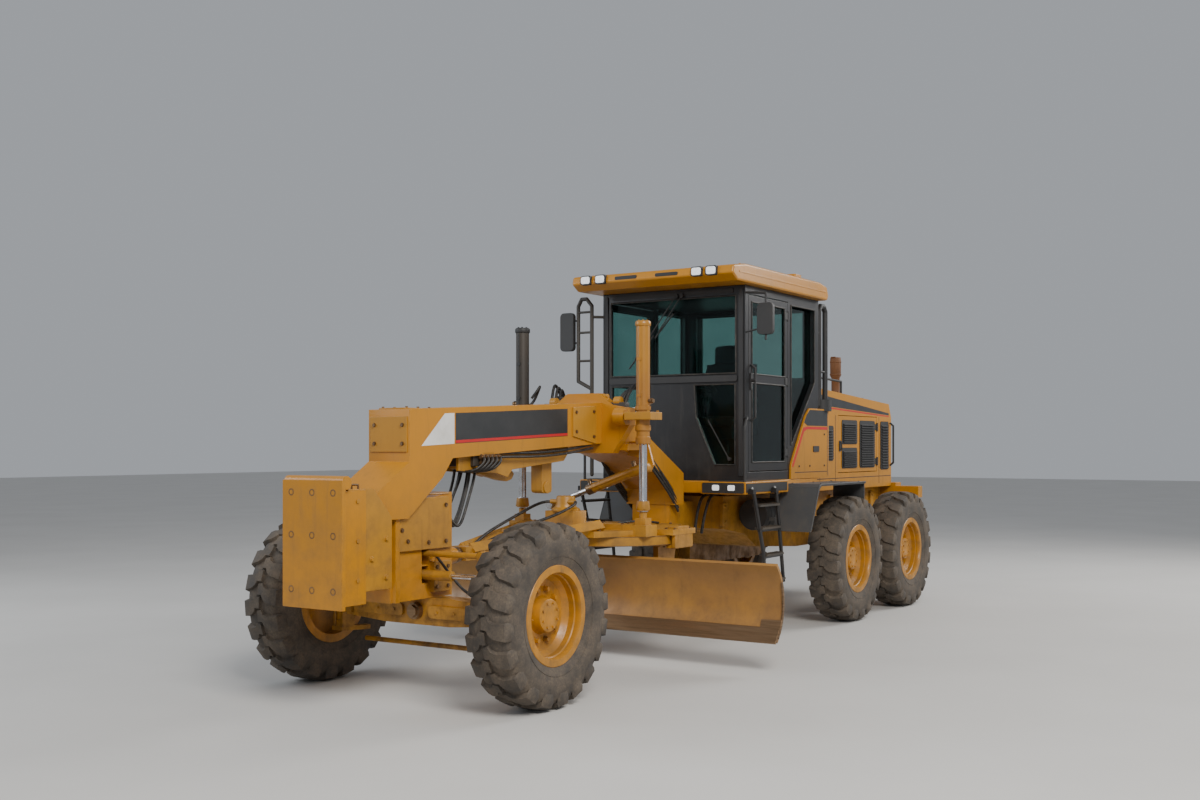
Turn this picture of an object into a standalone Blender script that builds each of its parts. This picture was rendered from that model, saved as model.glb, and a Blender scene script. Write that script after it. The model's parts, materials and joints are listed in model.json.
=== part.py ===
"""Articulated motor grader, modelled as separate named sub-parts.

Frame: +X forward, +Y to the machine's left, +Z up, metres.
The origin is on the ground, under the centre of the machine's outline.
"""

import math

import bmesh
import bpy
from mathutils import Matrix, Vector

# ---------------------------------------------------------------- driving sizes

GAP = 0.0003                   # between pieces that touch

FRONT_REACH = 4.60             # origin to the push plate's front face
REAR_REACH = 4.60              # origin to the rear bumper's back face

FRONT_AXLE_X = 3.49
WHEELBASE = 6.117              # front axle to the middle of the tandems
TANDEM_SPACING = 1.522
TRACK_HALF = 1.033             # centre plane to the middle of a tyre
TYRE_R = 0.635
TYRE_W = 0.350
RIM_R = 0.305                  # bead seat of a 24 inch rim
RIM_FLANGE_R = 0.345
WHEEL_SIDES = 24

BEAM_HALF_WIDTH = 0.19
BEAM_TOP_FRONT_Z = 2.04
BEAM_TOP_REAR_Z = 2.15
BEAM_DEPTH = 0.345

HITCH_X = 0.0                  # vertical articulation axis
HITCH_LOW_Z = 0.93
HITCH_HIGH_Z = 1.30

BALL_X = 3.13                  # drawbar ball
BALL_Z = 0.97
BALL_R = 0.060
CIRCLE_X = 1.09
CIRCLE_R = 0.765
CIRCLE_BORE_R = 0.63
CIRCLE_LOW_Z = 0.955
CIRCLE_HIGH_Z = 1.035

BLADE_LENGTH = 3.66
BLADE_HEIGHT = 0.61
BLADE_CURVE_R = 0.413
BLADE_THICKNESS = 0.025
BLADE_LOW_Z = 0.235
BLADE_FACE_X = 1.44            # front face at the top and the bottom edge

LIFT_X = 1.45                  # lift cylinders
LIFT_Y = 0.62
LIFT_BALL_Z = 1.235
TRUNNION_Z = 2.03
LIFT_TOP_Z = 2.80
LIFT_BARREL_R = 0.058
LIFT_ROD_R = 0.033

CAB_FRONT_X = -0.10
CAB_REAR_X = -1.76
CAB_HALF_WIDTH = 0.78
CAB_FLOOR_Z = 1.47
CAB_TOP_Z = 3.27
ROOF_TOP_Z = 3.44
DECK_TOP_Z = 1.455

HOOD_FRONT_X = -1.92
HOOD_REAR_X = -4.42
HOOD_HALF_WIDTH = 0.56
HOOD_LOW_Z = 1.10
HOOD_FRONT_TOP_Z = 2.42
HOOD_REAR_TOP_Z = 2.28

# ---------------------------------------------------------------- derived places

TANDEM_X = FRONT_AXLE_X - WHEELBASE
REAR_WHEEL_XS = (TANDEM_X + TANDEM_SPACING / 2, TANDEM_X - TANDEM_SPACING / 2)
AXLE_Z = TYRE_R
BEAM_FRONT_X = FRONT_AXLE_X + 0.37

# ---------------------------------------------------------------- colours

YELLOW = ((0.58, 0.30, 0.025, 1.0), 0.42, 0.0)
YELLOW_WORN = ((0.42, 0.20, 0.035, 1.0), 0.55, 0.1)
BLACK = ((0.018, 0.018, 0.020, 1.0), 0.45, 0.0)
DARK_GREY = ((0.06, 0.06, 0.065, 1.0), 0.60, 0.0)
TYRE_GREY = ((0.070, 0.062, 0.055, 1.0), 0.88, 0.0)
STEEL = ((0.35, 0.30, 0.24, 1.0), 0.38, 0.9)
CHROME = ((0.75, 0.75, 0.75, 1.0), 0.12, 1.0)
GLASS = ((0.18, 0.32, 0.31, 0.35), 0.05, 0.0)
SEAT_GREY = ((0.05, 0.055, 0.06, 1.0), 0.85, 0.0)
RUST = ((0.22, 0.09, 0.03, 1.0), 0.80, 0.2)

# ---------------------------------------------------------------- scene and helpers


def clear_scene():
    for item in list(bpy.data.objects):
        bpy.data.objects.remove(item, do_unlink=True)


def new_collection(name):
    group = bpy.data.collections.new(name)
    bpy.context.scene.collection.children.link(group)
    return group


def paint(label, look):
    """A Principled material from (colour, roughness, metallic)."""
    material = bpy.data.materials.new(label)
    material.use_nodes = True
    shader = material.node_tree.nodes["Principled BSDF"]
    colour, roughness, metallic = look
    shader.inputs["Base Color"].default_value = colour
    shader.inputs["Roughness"].default_value = roughness
    shader.inputs["Metallic"].default_value = metallic
    shader.inputs["Alpha"].default_value = colour[3]
    return material


def mesh_object(name, mesh):
    item = bpy.data.objects.new(name, mesh)
    bpy.context.scene.collection.objects.link(item)
    return item


def box(x_range, y_range, z_range):
    """An axis-aligned block from three (low, high) pairs."""
    mesh = bpy.data.meshes.new("block")
    bm = bmesh.new()
    bmesh.ops.create_cube(bm, size=1.0)
    for low_high, axis in ((x_range, 0), (y_range, 1), (z_range, 2)):
        low, high = min(low_high), max(low_high)
        for vertex in bm.verts:
            vertex.co[axis] = high if vertex.co[axis] > 0 else low
    bm.to_mesh(mesh)
    bm.free()
    return mesh_object("block", mesh)


def rod(start, end, radius, sides=12, end_radius=None):
    """A cylinder, or a cone, between two points."""
    start, end = Vector(start), Vector(end)
    mesh = bpy.data.meshes.new("rod")
    bm = bmesh.new()
    far_radius = radius if end_radius is None else end_radius
    length = (end - start).length
    bmesh.ops.create_cone(bm, cap_ends=True, segments=sides, radius1=radius,
                          radius2=far_radius, depth=length)
    turn = (end - start).to_track_quat("Z", "Y").to_matrix().to_4x4()
    bmesh.ops.transform(bm, matrix=Matrix.Translation((start + end) / 2) @ turn, verts=bm.verts)
    bm.to_mesh(mesh)
    bm.free()
    return mesh_object("rod", mesh)


def ball(centre, radius, rings=8):
    mesh = bpy.data.meshes.new("ball")
    bm = bmesh.new()
    bmesh.ops.create_uvsphere(bm, u_segments=rings * 2, v_segments=rings, radius=radius)
    bmesh.ops.translate(bm, vec=Vector(centre), verts=bm.verts)
    bm.to_mesh(mesh)
    bm.free()
    return mesh_object("ball", mesh)


def as_mesh(item):
    """Replace an object by its evaluated mesh, in world space, with welded caps."""
    bpy.context.view_layer.update()
    depsgraph = bpy.context.evaluated_depsgraph_get()
    mesh = bpy.data.meshes.new_from_object(item.evaluated_get(depsgraph))
    mesh.transform(item.matrix_world)
    bm = bmesh.new()
    bm.from_mesh(mesh)
    bmesh.ops.remove_doubles(bm, verts=bm.verts, dist=0.00005)
    bm.to_mesh(mesh)
    bm.free()
    result = mesh_object(item.name, mesh)
    bpy.data.objects.remove(item, do_unlink=True)
    return result


def plate(outline, low, high, normal="Y"):
    """A flat outline, filled and made solid from low to high along its normal.

    Outline points are (x, z) for Y, (x, y) for Z and (y, z) for X.
    """
    curve = bpy.data.curves.new("plate", "CURVE")
    curve.dimensions = "2D"
    curve.fill_mode = "BOTH"
    curve.extrude = abs(high - low) / 2
    spline = curve.splines.new("POLY")
    spline.points.add(len(outline) - 1)
    for point, (u, v) in zip(spline.points, outline):
        point.co = (u, v, 0, 1)
    spline.use_cyclic_u = True
    item = bpy.data.objects.new("plate", curve)
    bpy.context.scene.collection.objects.link(item)
    middle = (low + high) / 2
    turns = {
        "Z": Matrix.Identity(4),
        "Y": Matrix(((1, 0, 0, 0), (0, 0, -1, 0), (0, 1, 0, 0), (0, 0, 0, 1))),
        "X": Matrix(((0, 0, 1, 0), (1, 0, 0, 0), (0, 1, 0, 0), (0, 0, 0, 1))),
    }
    shift = {"X": (middle, 0, 0), "Y": (0, middle, 0), "Z": (0, 0, middle)}[normal]
    item.matrix_world = Matrix.Translation(shift) @ turns[normal]
    return as_mesh(item)


def tube(points, radius, detail=2):
    """A round tube along a route of points, with filled caps."""
    curve = bpy.data.curves.new("tube", "CURVE")
    curve.dimensions = "3D"
    curve.bevel_depth = radius
    curve.bevel_resolution = detail
    curve.use_fill_caps = True
    spline = curve.splines.new("POLY")
    spline.points.add(len(points) - 1)
    for point, co in zip(spline.points, points):
        point.co = (*co, 1)
    item = bpy.data.objects.new("tube", curve)
    bpy.context.scene.collection.objects.link(item)
    return as_mesh(item)


def turned(profile, axis="Y", centre=(0, 0, 0), sides=32):
    """A turned solid: closed (radius, along) profile, its outer side listed top to bottom."""
    mesh = bpy.data.meshes.new("turned")
    bm = bmesh.new()
    ring = [bm.verts.new((radius, 0, along)) for radius, along in profile]
    for first, second in zip(ring, ring[1:] + ring[:1]):
        if first.co.x > 0 or second.co.x > 0:
            bm.edges.new((first, second))
    bm.to_mesh(mesh)
    bm.free()
    item = mesh_object("turned", mesh)
    screw = item.modifiers.new("turn", "SCREW")
    screw.axis = "Z"
    screw.steps = sides
    screw.render_steps = sides
    screw.use_merge_vertices = True
    screw.merge_threshold = 0.0001
    turns = {
        "Z": Matrix.Identity(4),
        "Y": Matrix.Rotation(math.radians(-90), 4, "X"),
        "X": Matrix.Rotation(math.radians(90), 4, "Y"),
    }
    item.matrix_world = Matrix.Translation(centre) @ turns[axis]
    return as_mesh(item)


def mirrored(item):
    """A copy of a finished mesh on the other side of the centre plane."""
    mesh = item.data.copy()
    bm = bmesh.new()
    bm.from_mesh(mesh)
    bmesh.ops.transform(bm, matrix=Matrix.Diagonal((1, -1, 1, 1)), verts=bm.verts)
    bmesh.ops.reverse_faces(bm, faces=bm.faces)
    bm.to_mesh(mesh)
    bm.free()
    return mesh_object(item.name, mesh)


def boolean(base, others, operation):
    for other in others:
        cut = base.modifiers.new(operation, "BOOLEAN")
        cut.operation = operation
        cut.solver = "EXACT"
        cut.object = other
        base = as_mesh(base)
        bpy.data.objects.remove(other, do_unlink=True)
    return base


def join(pieces):
    """One closed body from pieces that overlap."""
    return boolean(pieces[0], pieces[1:], "UNION")


def cut_out(base, cutters):
    return boolean(base, cutters, "DIFFERENCE")


MATERIALS = {}
SIDES = (("left", 1), ("right", -1))


def finish(name, item, look, smooth=False):
    """Name a sub-part, give it its material and put it in the machine's collection."""
    item.name = name
    item.data.name = name
    key = name.rsplit("_left", 1)[0].rsplit("_right", 1)[0]
    if key not in MATERIALS:
        MATERIALS[key] = paint(key, look)
    item.data.materials.clear()
    item.data.materials.append(MATERIALS[key])
    if smooth:
        item.data.shade_smooth()
        item.data.set_sharp_from_angle(angle=math.radians(35))
    for group in list(item.users_collection):
        group.objects.unlink(item)
    MACHINE.objects.link(item)
    return item


def set_origin(item, point):
    """Move an object's origin onto its joint axis, leaving its shape where it is."""
    item.data.transform(Matrix.Translation(-Vector(point)))
    item.location = Vector(point)
    return item

# ---------------------------------------------------------------- wheels

SPINDLE_R = 0.0988
HUB_BORE_R = 0.1003
RIM_HALF = 0.130


def tyre(name, x, side):
    half = TYRE_W / 2
    bead = RIM_R + GAP
    profile = [(bead + 0.045, RIM_HALF), (0.45, half), (TYRE_R - 0.045, half - 0.008), (TYRE_R, half - 0.055),
               (TYRE_R, 0.055 - half), (TYRE_R - 0.045, 0.008 - half), (0.45, -half), (bead + 0.045, -RIM_HALF),
               (bead, -RIM_HALF), (bead, RIM_HALF)]
    centre = (x, side * TRACK_HALF, AXLE_Z)
    body = turned(profile, "Y", centre, WHEEL_SIDES)
    return set_origin(finish(name, body, TYRE_GREY, smooth=True), centre)


def rim(name, x, side):
    """A dished disc wheel: the deep side and the hub cap face outwards."""
    lip = RIM_HALF + GAP
    edge = lip + 0.015
    inner = RIM_R - 0.020
    profile = [(RIM_FLANGE_R, edge), (RIM_FLANGE_R, lip), (RIM_R, lip),
               (RIM_R, -lip), (RIM_FLANGE_R, -lip), (RIM_FLANGE_R, -edge), (inner, -edge),
               (inner, -0.030), (HUB_BORE_R, -0.030), (HUB_BORE_R, 0.0), (0.0, 0.0), (0.0, 0.085), (0.120, 0.085),
               (0.130, 0.010), (inner, 0.010), (inner, edge)]
    body = turned(profile, "Y", (x, TRACK_HALF, AXLE_Z), WHEEL_SIDES)
    if side < 0:
        whole = body
        body = mirrored(whole)
        bpy.data.objects.remove(whole, do_unlink=True)
    return set_origin(finish(name, body, YELLOW, smooth=True), (x, side * TRACK_HALF, AXLE_Z))


def wheels():
    places = (("front", FRONT_AXLE_X), ("middle", REAR_WHEEL_XS[0]), ("rear", REAR_WHEEL_XS[1]))
    for label, x in places:
        for hand, side in SIDES:
            tyre(f"tyre_{label}_{hand}", x, side)
            rim(f"rim_{label}_{hand}", x, side)


# ---------------------------------------------------------------- front axle, steering and lean

LEAN_Y, LEAN_Z = 0.66, 0.60    # lean pivot, along X
LEAN_PIN_R = 0.025
LEAN_BORE_R = 0.0265
LEAN_BAR_X = FRONT_AXLE_X + 0.11
LEAN_BAR_Z = 1.02
KING_Y = 0.81                  # steering axis
KING_R = 0.038
LUG_LOW = (0.42, 0.47)
LUG_HIGH = (0.80, 0.85)
ARM_X = FRONT_AXLE_X - 0.17    # steering arm's ball
ARM_Y = 0.72
ARM_LOW_Z, ARM_HIGH_Z = 0.385, 0.4197
AXLE_TOP_Z = 0.70
TIE_PIN_LENGTH = 0.040
TIE_EYE_R = 0.028
RAM_Z = 0.87                   # wheel-lean cylinder
RAM_X = FRONT_AXLE_X + 0.135


def front_axle():
    outline = [(-0.69, 0.53), (-0.30, 0.50), (0.30, 0.50), (0.69, 0.53),
               (0.69, 0.67), (0.32, AXLE_TOP_Z), (-0.32, AXLE_TOP_Z), (-0.69, 0.67)]
    beam = plate(outline, FRONT_AXLE_X - 0.075, FRONT_AXLE_X + 0.075, "X")
    bores = [rod((FRONT_AXLE_X - 0.2, side * LEAN_Y, LEAN_Z), (FRONT_AXLE_X + 0.2, side * LEAN_Y, LEAN_Z),
                 LEAN_BORE_R) for _, side in SIDES]
    finish("front_axle", cut_out(beam, bores), YELLOW)


def lean_bracket(hand, side):
    x = FRONT_AXLE_X
    wall = box((x - 0.065, x + 0.065), (0.742, 0.768), (0.42, 0.93))
    head = box((x + 0.060, x + 0.095), (0.60, 0.768), (0.84, 1.055))
    bridge = box((x - 0.03, x + 0.08), (0.745, 0.766), (0.86, 1.04))
    pieces = [wall, bridge, head]
    pieces.append(box((x + 0.095 - 0.01, x + 0.115), (0.590, 0.640), (0.840, 0.900)))
    for low, high in (LUG_LOW, LUG_HIGH):
        pieces.append(box((x - 0.045, x + 0.045), (0.75, KING_Y), (low, high)))
        pieces.append(rod((x, KING_Y, low), (x, KING_Y, high), 0.0452, 14))
    for near, far in ((0.080, 0.105), (-0.105, -0.080)):
        pieces.append(box((x + near, x + far), (0.615, 0.76), (0.545, 0.655)))
    pieces.append(box((x - 0.104, x + 0.104), (0.7425, 0.765), (0.548, 0.652)))
    pieces.append(rod((x - 0.100, LEAN_Y, LEAN_Z), (x + 0.100, LEAN_Y, LEAN_Z), LEAN_PIN_R))
    body = join(pieces)
    if side < 0:
        whole = body
        body = mirrored(whole)
        bpy.data.objects.remove(whole, do_unlink=True)
    set_origin(finish(f"lean_bracket_{hand}", body, YELLOW), (x, side * LEAN_Y, LEAN_Z))


def knuckle(hand, side):
    x = FRONT_AXLE_X
    pieces = [rod((x, KING_Y, LUG_LOW[1] + GAP), (x, KING_Y, LUG_HIGH[0] - GAP), KING_R, 14),
              rod((x, KING_Y, AXLE_Z), (x, KING_Y + 0.09, AXLE_Z), 0.052, 14),
              rod((x, KING_Y + 0.07, AXLE_Z), (x, TRACK_HALF - GAP, AXLE_Z), SPINDLE_R, WHEEL_SIDES)]
    body = join(pieces)
    hanger = rod((x, KING_Y + 0.066, 0.60), (x, KING_Y + 0.066, ARM_LOW_Z + 0.02), 0.016, 12)
    arm = plate([(x + 0.02, KING_Y + 0.088), (x - 0.02, KING_Y + 0.088), (ARM_X - 0.025, ARM_Y + 0.02),
                 (ARM_X - 0.025, ARM_Y - 0.02), (ARM_X + 0.02, ARM_Y - 0.02), (x + 0.02, KING_Y - 0.02)],
                ARM_LOW_Z, ARM_HIGH_Z, "Z")
    body = join([body, hanger, arm])
    if side < 0:
        whole = body
        body = mirrored(whole)
        bpy.data.objects.remove(whole, do_unlink=True)
    set_origin(finish(f"knuckle_{hand}", body, YELLOW), (x, side * KING_Y, AXLE_Z))


def axle_rods():
    """The lean bar, the tie rod with its ball end, and the wheel-lean cylinder."""
    bar_x = LEAN_BAR_X + 0.012
    bar_y = 0.64
    pieces = [rod((bar_x, -bar_y, LEAN_BAR_Z), (bar_x, bar_y, LEAN_BAR_Z), 0.021)]
    for _, side in SIDES:
        pieces.append(rod((FRONT_AXLE_X + 0.0953, side * bar_y, LEAN_BAR_Z),
                          (bar_x + 0.036, side * bar_y, LEAN_BAR_Z), 0.035))
    set_origin(finish("lean_bar", join(pieces), YELLOW), (bar_x, bar_y, LEAN_BAR_Z))

    high = ARM_LOW_Z - GAP
    z = high - TIE_PIN_LENGTH - TIE_EYE_R - GAP
    finish("tie_rod_end", rod((ARM_X, ARM_Y, high - TIE_PIN_LENGTH), (ARM_X, ARM_Y, high), 0.009), STEEL)
    pieces = [rod((ARM_X, -ARM_Y, z), (ARM_X, ARM_Y, z), 0.019), ball((ARM_X, ARM_Y, z), TIE_EYE_R)]
    finish("tie_rod", join(pieces), YELLOW)

    eye_y = 0.615
    cylinder = [rod((RAM_X, 0.02, RAM_Z), (RAM_X, 0.38, RAM_Z), 0.036, 14),
                rod((RAM_X - 0.036, 0.0, RAM_Z), (RAM_X + 0.036, 0.0, RAM_Z), 0.038, 14)]
    bore = rod((RAM_X, 0.08, RAM_Z), (RAM_X, 0.42, RAM_Z), 0.0205, 16)
    set_origin(finish("lean_ram_barrel", cut_out(join(cylinder), [bore]), YELLOW), (RAM_X, 0, RAM_Z))
    piston = rod((RAM_X, 0.225, RAM_Z), (RAM_X, eye_y, RAM_Z), 0.020, 16)
    eye = rod((FRONT_AXLE_X + 0.1153, eye_y, RAM_Z), (RAM_X + 0.025, eye_y, RAM_Z), 0.028, 16)
    finish("lean_ram_rod", join([piston, eye]), CHROME)


def front_running_gear():
    front_axle()
    for hand, side in SIDES:
        lean_bracket(hand, side)
        knuckle(hand, side)
    axle_rods()


# ---------------------------------------------------------------- front frame

HITCH_PIN_R = 0.040
HITCH_BORE_R = 0.0410
LUG_R = 0.11
LOW_LUG = (HITCH_LOW_Z, HITCH_LOW_Z + 0.05)
HIGH_LUG = (HITCH_HIGH_Z - 0.05, HITCH_HIGH_Z)
SADDLE_X = (1.33, 1.42)
SADDLE_ARM_Y = 0.47
SHIFT_X = 1.12                 # centre-shift cylinder
LEG_HALF_WIDTH = 0.26


def front_frame():
    top, low = BEAM_TOP_FRONT_Z, BEAM_TOP_FRONT_Z - BEAM_DEPTH
    front, axle = BEAM_FRONT_X, FRONT_AXLE_X
    beam = [(front, top), (front, low - 0.02), (axle + 0.80, 1.40), (axle + 0.80, 1.28),
            (axle + 0.38, 1.28), (axle + 0.01, 1.56), (axle - 0.10, low),
            (1.39, BEAM_TOP_REAR_Z - BEAM_DEPTH), (1.10, 1.75), (1.10, 2.05), (1.39, BEAM_TOP_REAR_Z)]
    pieces = [plate(beam, -BEAM_HALF_WIDTH, BEAM_HALF_WIDTH, "Y")]
    leg = [(1.40, 2.12), (1.40, 1.82), (1.25, 1.76), (0.70, 1.62), (0.42, 1.47), (0.31, 1.38), (0.30, 1.24),
           (0.13, 1.24), (0.13, 1.53), (0.72, 1.84), (1.02, 2.06)]
    pieces.append(plate(leg, -LEG_HALF_WIDTH, LEG_HALF_WIDTH, "Y"))
    pieces.append(box((0.14, 0.29), (-0.20, 0.20), (HITCH_LOW_Z + 0.01, 1.30)))
    for low_z, high_z in (LOW_LUG, HIGH_LUG):
        pieces.append(box((HITCH_X, 0.20), (-LUG_R, LUG_R), (low_z, high_z)))
        pieces.append(rod((HITCH_X, 0, low_z), (HITCH_X, 0, high_z), LUG_R + 0.001, 16))
    pieces.append(rod((HITCH_X, 0, LOW_LUG[0] + 0.01), (HITCH_X, 0, HIGH_LUG[1] - 0.01), HITCH_PIN_R, 16))
    saddle = [(-SADDLE_ARM_Y, 1.96), (-0.30, 1.72), (0.30, 1.72), (SADDLE_ARM_Y, 1.96),
              (SADDLE_ARM_Y, 2.10), (0.30, 2.13), (0.16, 2.23), (-0.16, 2.23), (-0.30, 2.13),
              (-SADDLE_ARM_Y, 2.10)]
    pieces.append(plate(saddle, SADDLE_X[0], SADDLE_X[1], "X"))
    for _, side in SIDES:
        pieces.append(rod((LIFT_X, side * 0.36, TRUNNION_Z), (LIFT_X, side * SADDLE_ARM_Y, TRUNNION_Z), 0.075, 14))
    bracket = [(0.24, 1.82), (0.24, 1.70), (0.436, 1.67), (0.436, 1.56), (0.47, 1.56), (0.50, 1.62), (0.44, 1.82)]
    pieces.append(plate(bracket, SHIFT_X - 0.058, SHIFT_X - 0.0358, "X"))
    pieces.append(box((SHIFT_X - 0.05, 1.34), (0.22, 0.40), (1.745, 1.80)))
    bolster = [(axle - 0.16, 1.45), (axle - 0.16, AXLE_TOP_Z + GAP), (axle + 0.50, AXLE_TOP_Z + GAP),
               (axle + 0.50, 1.35)]
    pieces.append(plate(bolster, -0.13, 0.13, "Y"))
    pieces.append(rod((BALL_X + 0.035, 0, BALL_Z), (axle - 0.14, 0, BALL_Z), 0.062, 16, 0.095))
    for _, side in SIDES:
        low_y, high_y = sorted((side * 0.12, side * 0.165))
        pieces.append(box((axle + 0.44, axle + 0.485), (low_y, high_y), (AXLE_TOP_Z + 0.002, 1.29)))
    body = join(pieces)
    slot_x = (RAM_X - 0.036 - GAP, RAM_X + 0.036 + GAP)
    clearance = box(slot_x, (-0.2, 0.2), (RAM_Z - 0.060, RAM_Z + 0.060))
    slot = box(slot_x, (-0.2, 0.2), (LEAN_BAR_Z - 0.080, LEAN_BAR_Z + 0.080))
    socket = ball((BALL_X, 0, BALL_Z), BALL_R + 0.0008, 16)
    body = cut_out(body, [clearance, slot, socket])
    finish("front_frame", body, YELLOW)


def push_plate():
    face = FRONT_REACH
    pieces = [box((face - 0.032, face), (-0.27, 0.27), (0.72, 1.56)),
              rod((face - 0.050, -0.265, 1.545), (face - 0.050, 0.265, 1.545), 0.045, 16),
              box((FRONT_AXLE_X + 0.80 + GAP, face - 0.02), (-0.14, 0.14), (1.282, 1.398)),
              box((FRONT_AXLE_X + 0.50 + GAP, face - 0.02), (-0.11, 0.11), (0.80, 1.02))]
    for _, side in SIDES:
        low_y, high_y = sorted((side * 0.20, side * 0.235))
        pieces.append(box((face - 0.26, face - 0.02), (low_y, high_y), (0.74, 1.49)))
        pieces.append(box((face - 0.25, face - 0.20), (min(0, side * 0.22), max(0, side * 0.22)), (1.31, 1.37)))
    finish("push_plate", join(pieces), YELLOW)

# ---------------------------------------------------------------- drawbar, circle and blade

STUD_Y = LIFT_Y
PLATE_TOP_Z = 1.13
SHOE_Y = (0.40, 0.62)
TILT_X, TILT_Z = 1.10, 0.43
ARM_Y_RANGE = (0.56, 0.61)
RAIL_X = (1.262, 1.300)
RAIL_ZS = ((0.36, 0.42), (0.66, 0.72))
RAIL_HALF = 1.50
CARRIER_Y = (0.44, 0.50)
SHIFT_BALL = (SHIFT_X, -0.55, 1.25)
SHIFT_EYE = (SHIFT_X, 0.44, 1.60)


def drawbar_group():
    finish("drawbar_ball", ball((BALL_X, 0, BALL_Z), BALL_R, 16), STEEL, smooth=True)

    z0 = CIRCLE_HIGH_Z + GAP
    pieces = [box((1.36, 1.54), (-0.70, 0.70), (z0, PLATE_TOP_Z))]
    pieces.append(plate([(0.52, -0.42), (0.52, 0.42), (0.80, 0.66), (1.40, 0.66), (1.86, 0.40),
                         (1.86, -0.40), (1.40, -0.66), (0.80, -0.66)], z0, 1.085, "Z"))
    for _, side in SIDES:
        bar = rod((1.70, side * 0.36, 1.112), (BALL_X - 0.12, side * 0.045, BALL_Z + 0.02), 0.062, 4)
        pieces.append(bar)
        pieces.append(box((LIFT_X - 0.05, LIFT_X + 0.05), sorted((side * 0.57, side * 0.67)),
                          (PLATE_TOP_Z - 0.03, LIFT_BALL_Z - 0.05)))
        pieces.append(rod((LIFT_X, side * STUD_Y, 1.16), (LIFT_X, side * STUD_Y, LIFT_BALL_Z), 0.032, 16))
        pieces.append(box((0.90, 1.28), sorted((side * 0.64, side * 0.81)), (z0 + 0.002, 1.083)))
        pieces.append(box((0.94, 1.24), sorted((side * 0.772, side * 0.806)), (0.93, 1.08)))
        pieces.append(box((0.95, 1.23), sorted((side * 0.715, side * 0.804)), (0.925, CIRCLE_LOW_Z - GAP)))
    pieces.append(rod((SHIFT_X, SHIFT_BALL[1], 1.05), (SHIFT_X, SHIFT_BALL[1], SHIFT_BALL[2] - 0.070), 0.035, 16))
    pieces.append(box((BALL_X - 0.30, BALL_X - 0.030), (-0.075, 0.075), (BALL_Z - 0.045, BALL_Z + 0.06)))
    pieces.append(box((1.58, 1.78), (-0.14, 0.14), (1.06, 1.24)))
    pieces.append(rod((1.68, 0, 1.20), (1.68, 0, 1.36), 0.075, 14))
    body = join(pieces)
    centre_hole = rod((CIRCLE_X, 0, 1.0), (CIRCLE_X, 0, 1.2), 0.34, 20)
    cup = ball((BALL_X, 0, BALL_Z), BALL_R + 0.0009, 16)
    body = cut_out(body, [centre_hole, cup])
    set_origin(finish("drawbar", body, YELLOW), (BALL_X, 0, BALL_Z))


def circle():
    r, bore = CIRCLE_R, CIRCLE_BORE_R
    profile = [(r, CIRCLE_HIGH_Z), (r, CIRCLE_LOW_Z), (bore, CIRCLE_LOW_Z), (bore, CIRCLE_HIGH_Z)]
    pieces = [turned(profile, "Z", (CIRCLE_X, 0, 0), 40)]
    for _, side in SIDES:
        arm = [(0.86, CIRCLE_LOW_Z + 0.03), (1.03, 0.40), (1.06, 0.375), (1.15, 0.375), (1.18, 0.42),
               (1.19, CIRCLE_LOW_Z + 0.03)]
        low_y, high_y = sorted(side * value for value in ARM_Y_RANGE)
        pieces.append(plate(arm, low_y, high_y, "Y"))
        pieces.append(box((0.84, 1.24), sorted((side * 0.54, side * 0.66)), (CIRCLE_LOW_Z - 0.02, CIRCLE_LOW_Z + 0.04)))
    set_origin(finish("circle", join(pieces), YELLOW_WORN), (CIRCLE_X, 0, CIRCLE_HIGH_Z))


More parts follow.
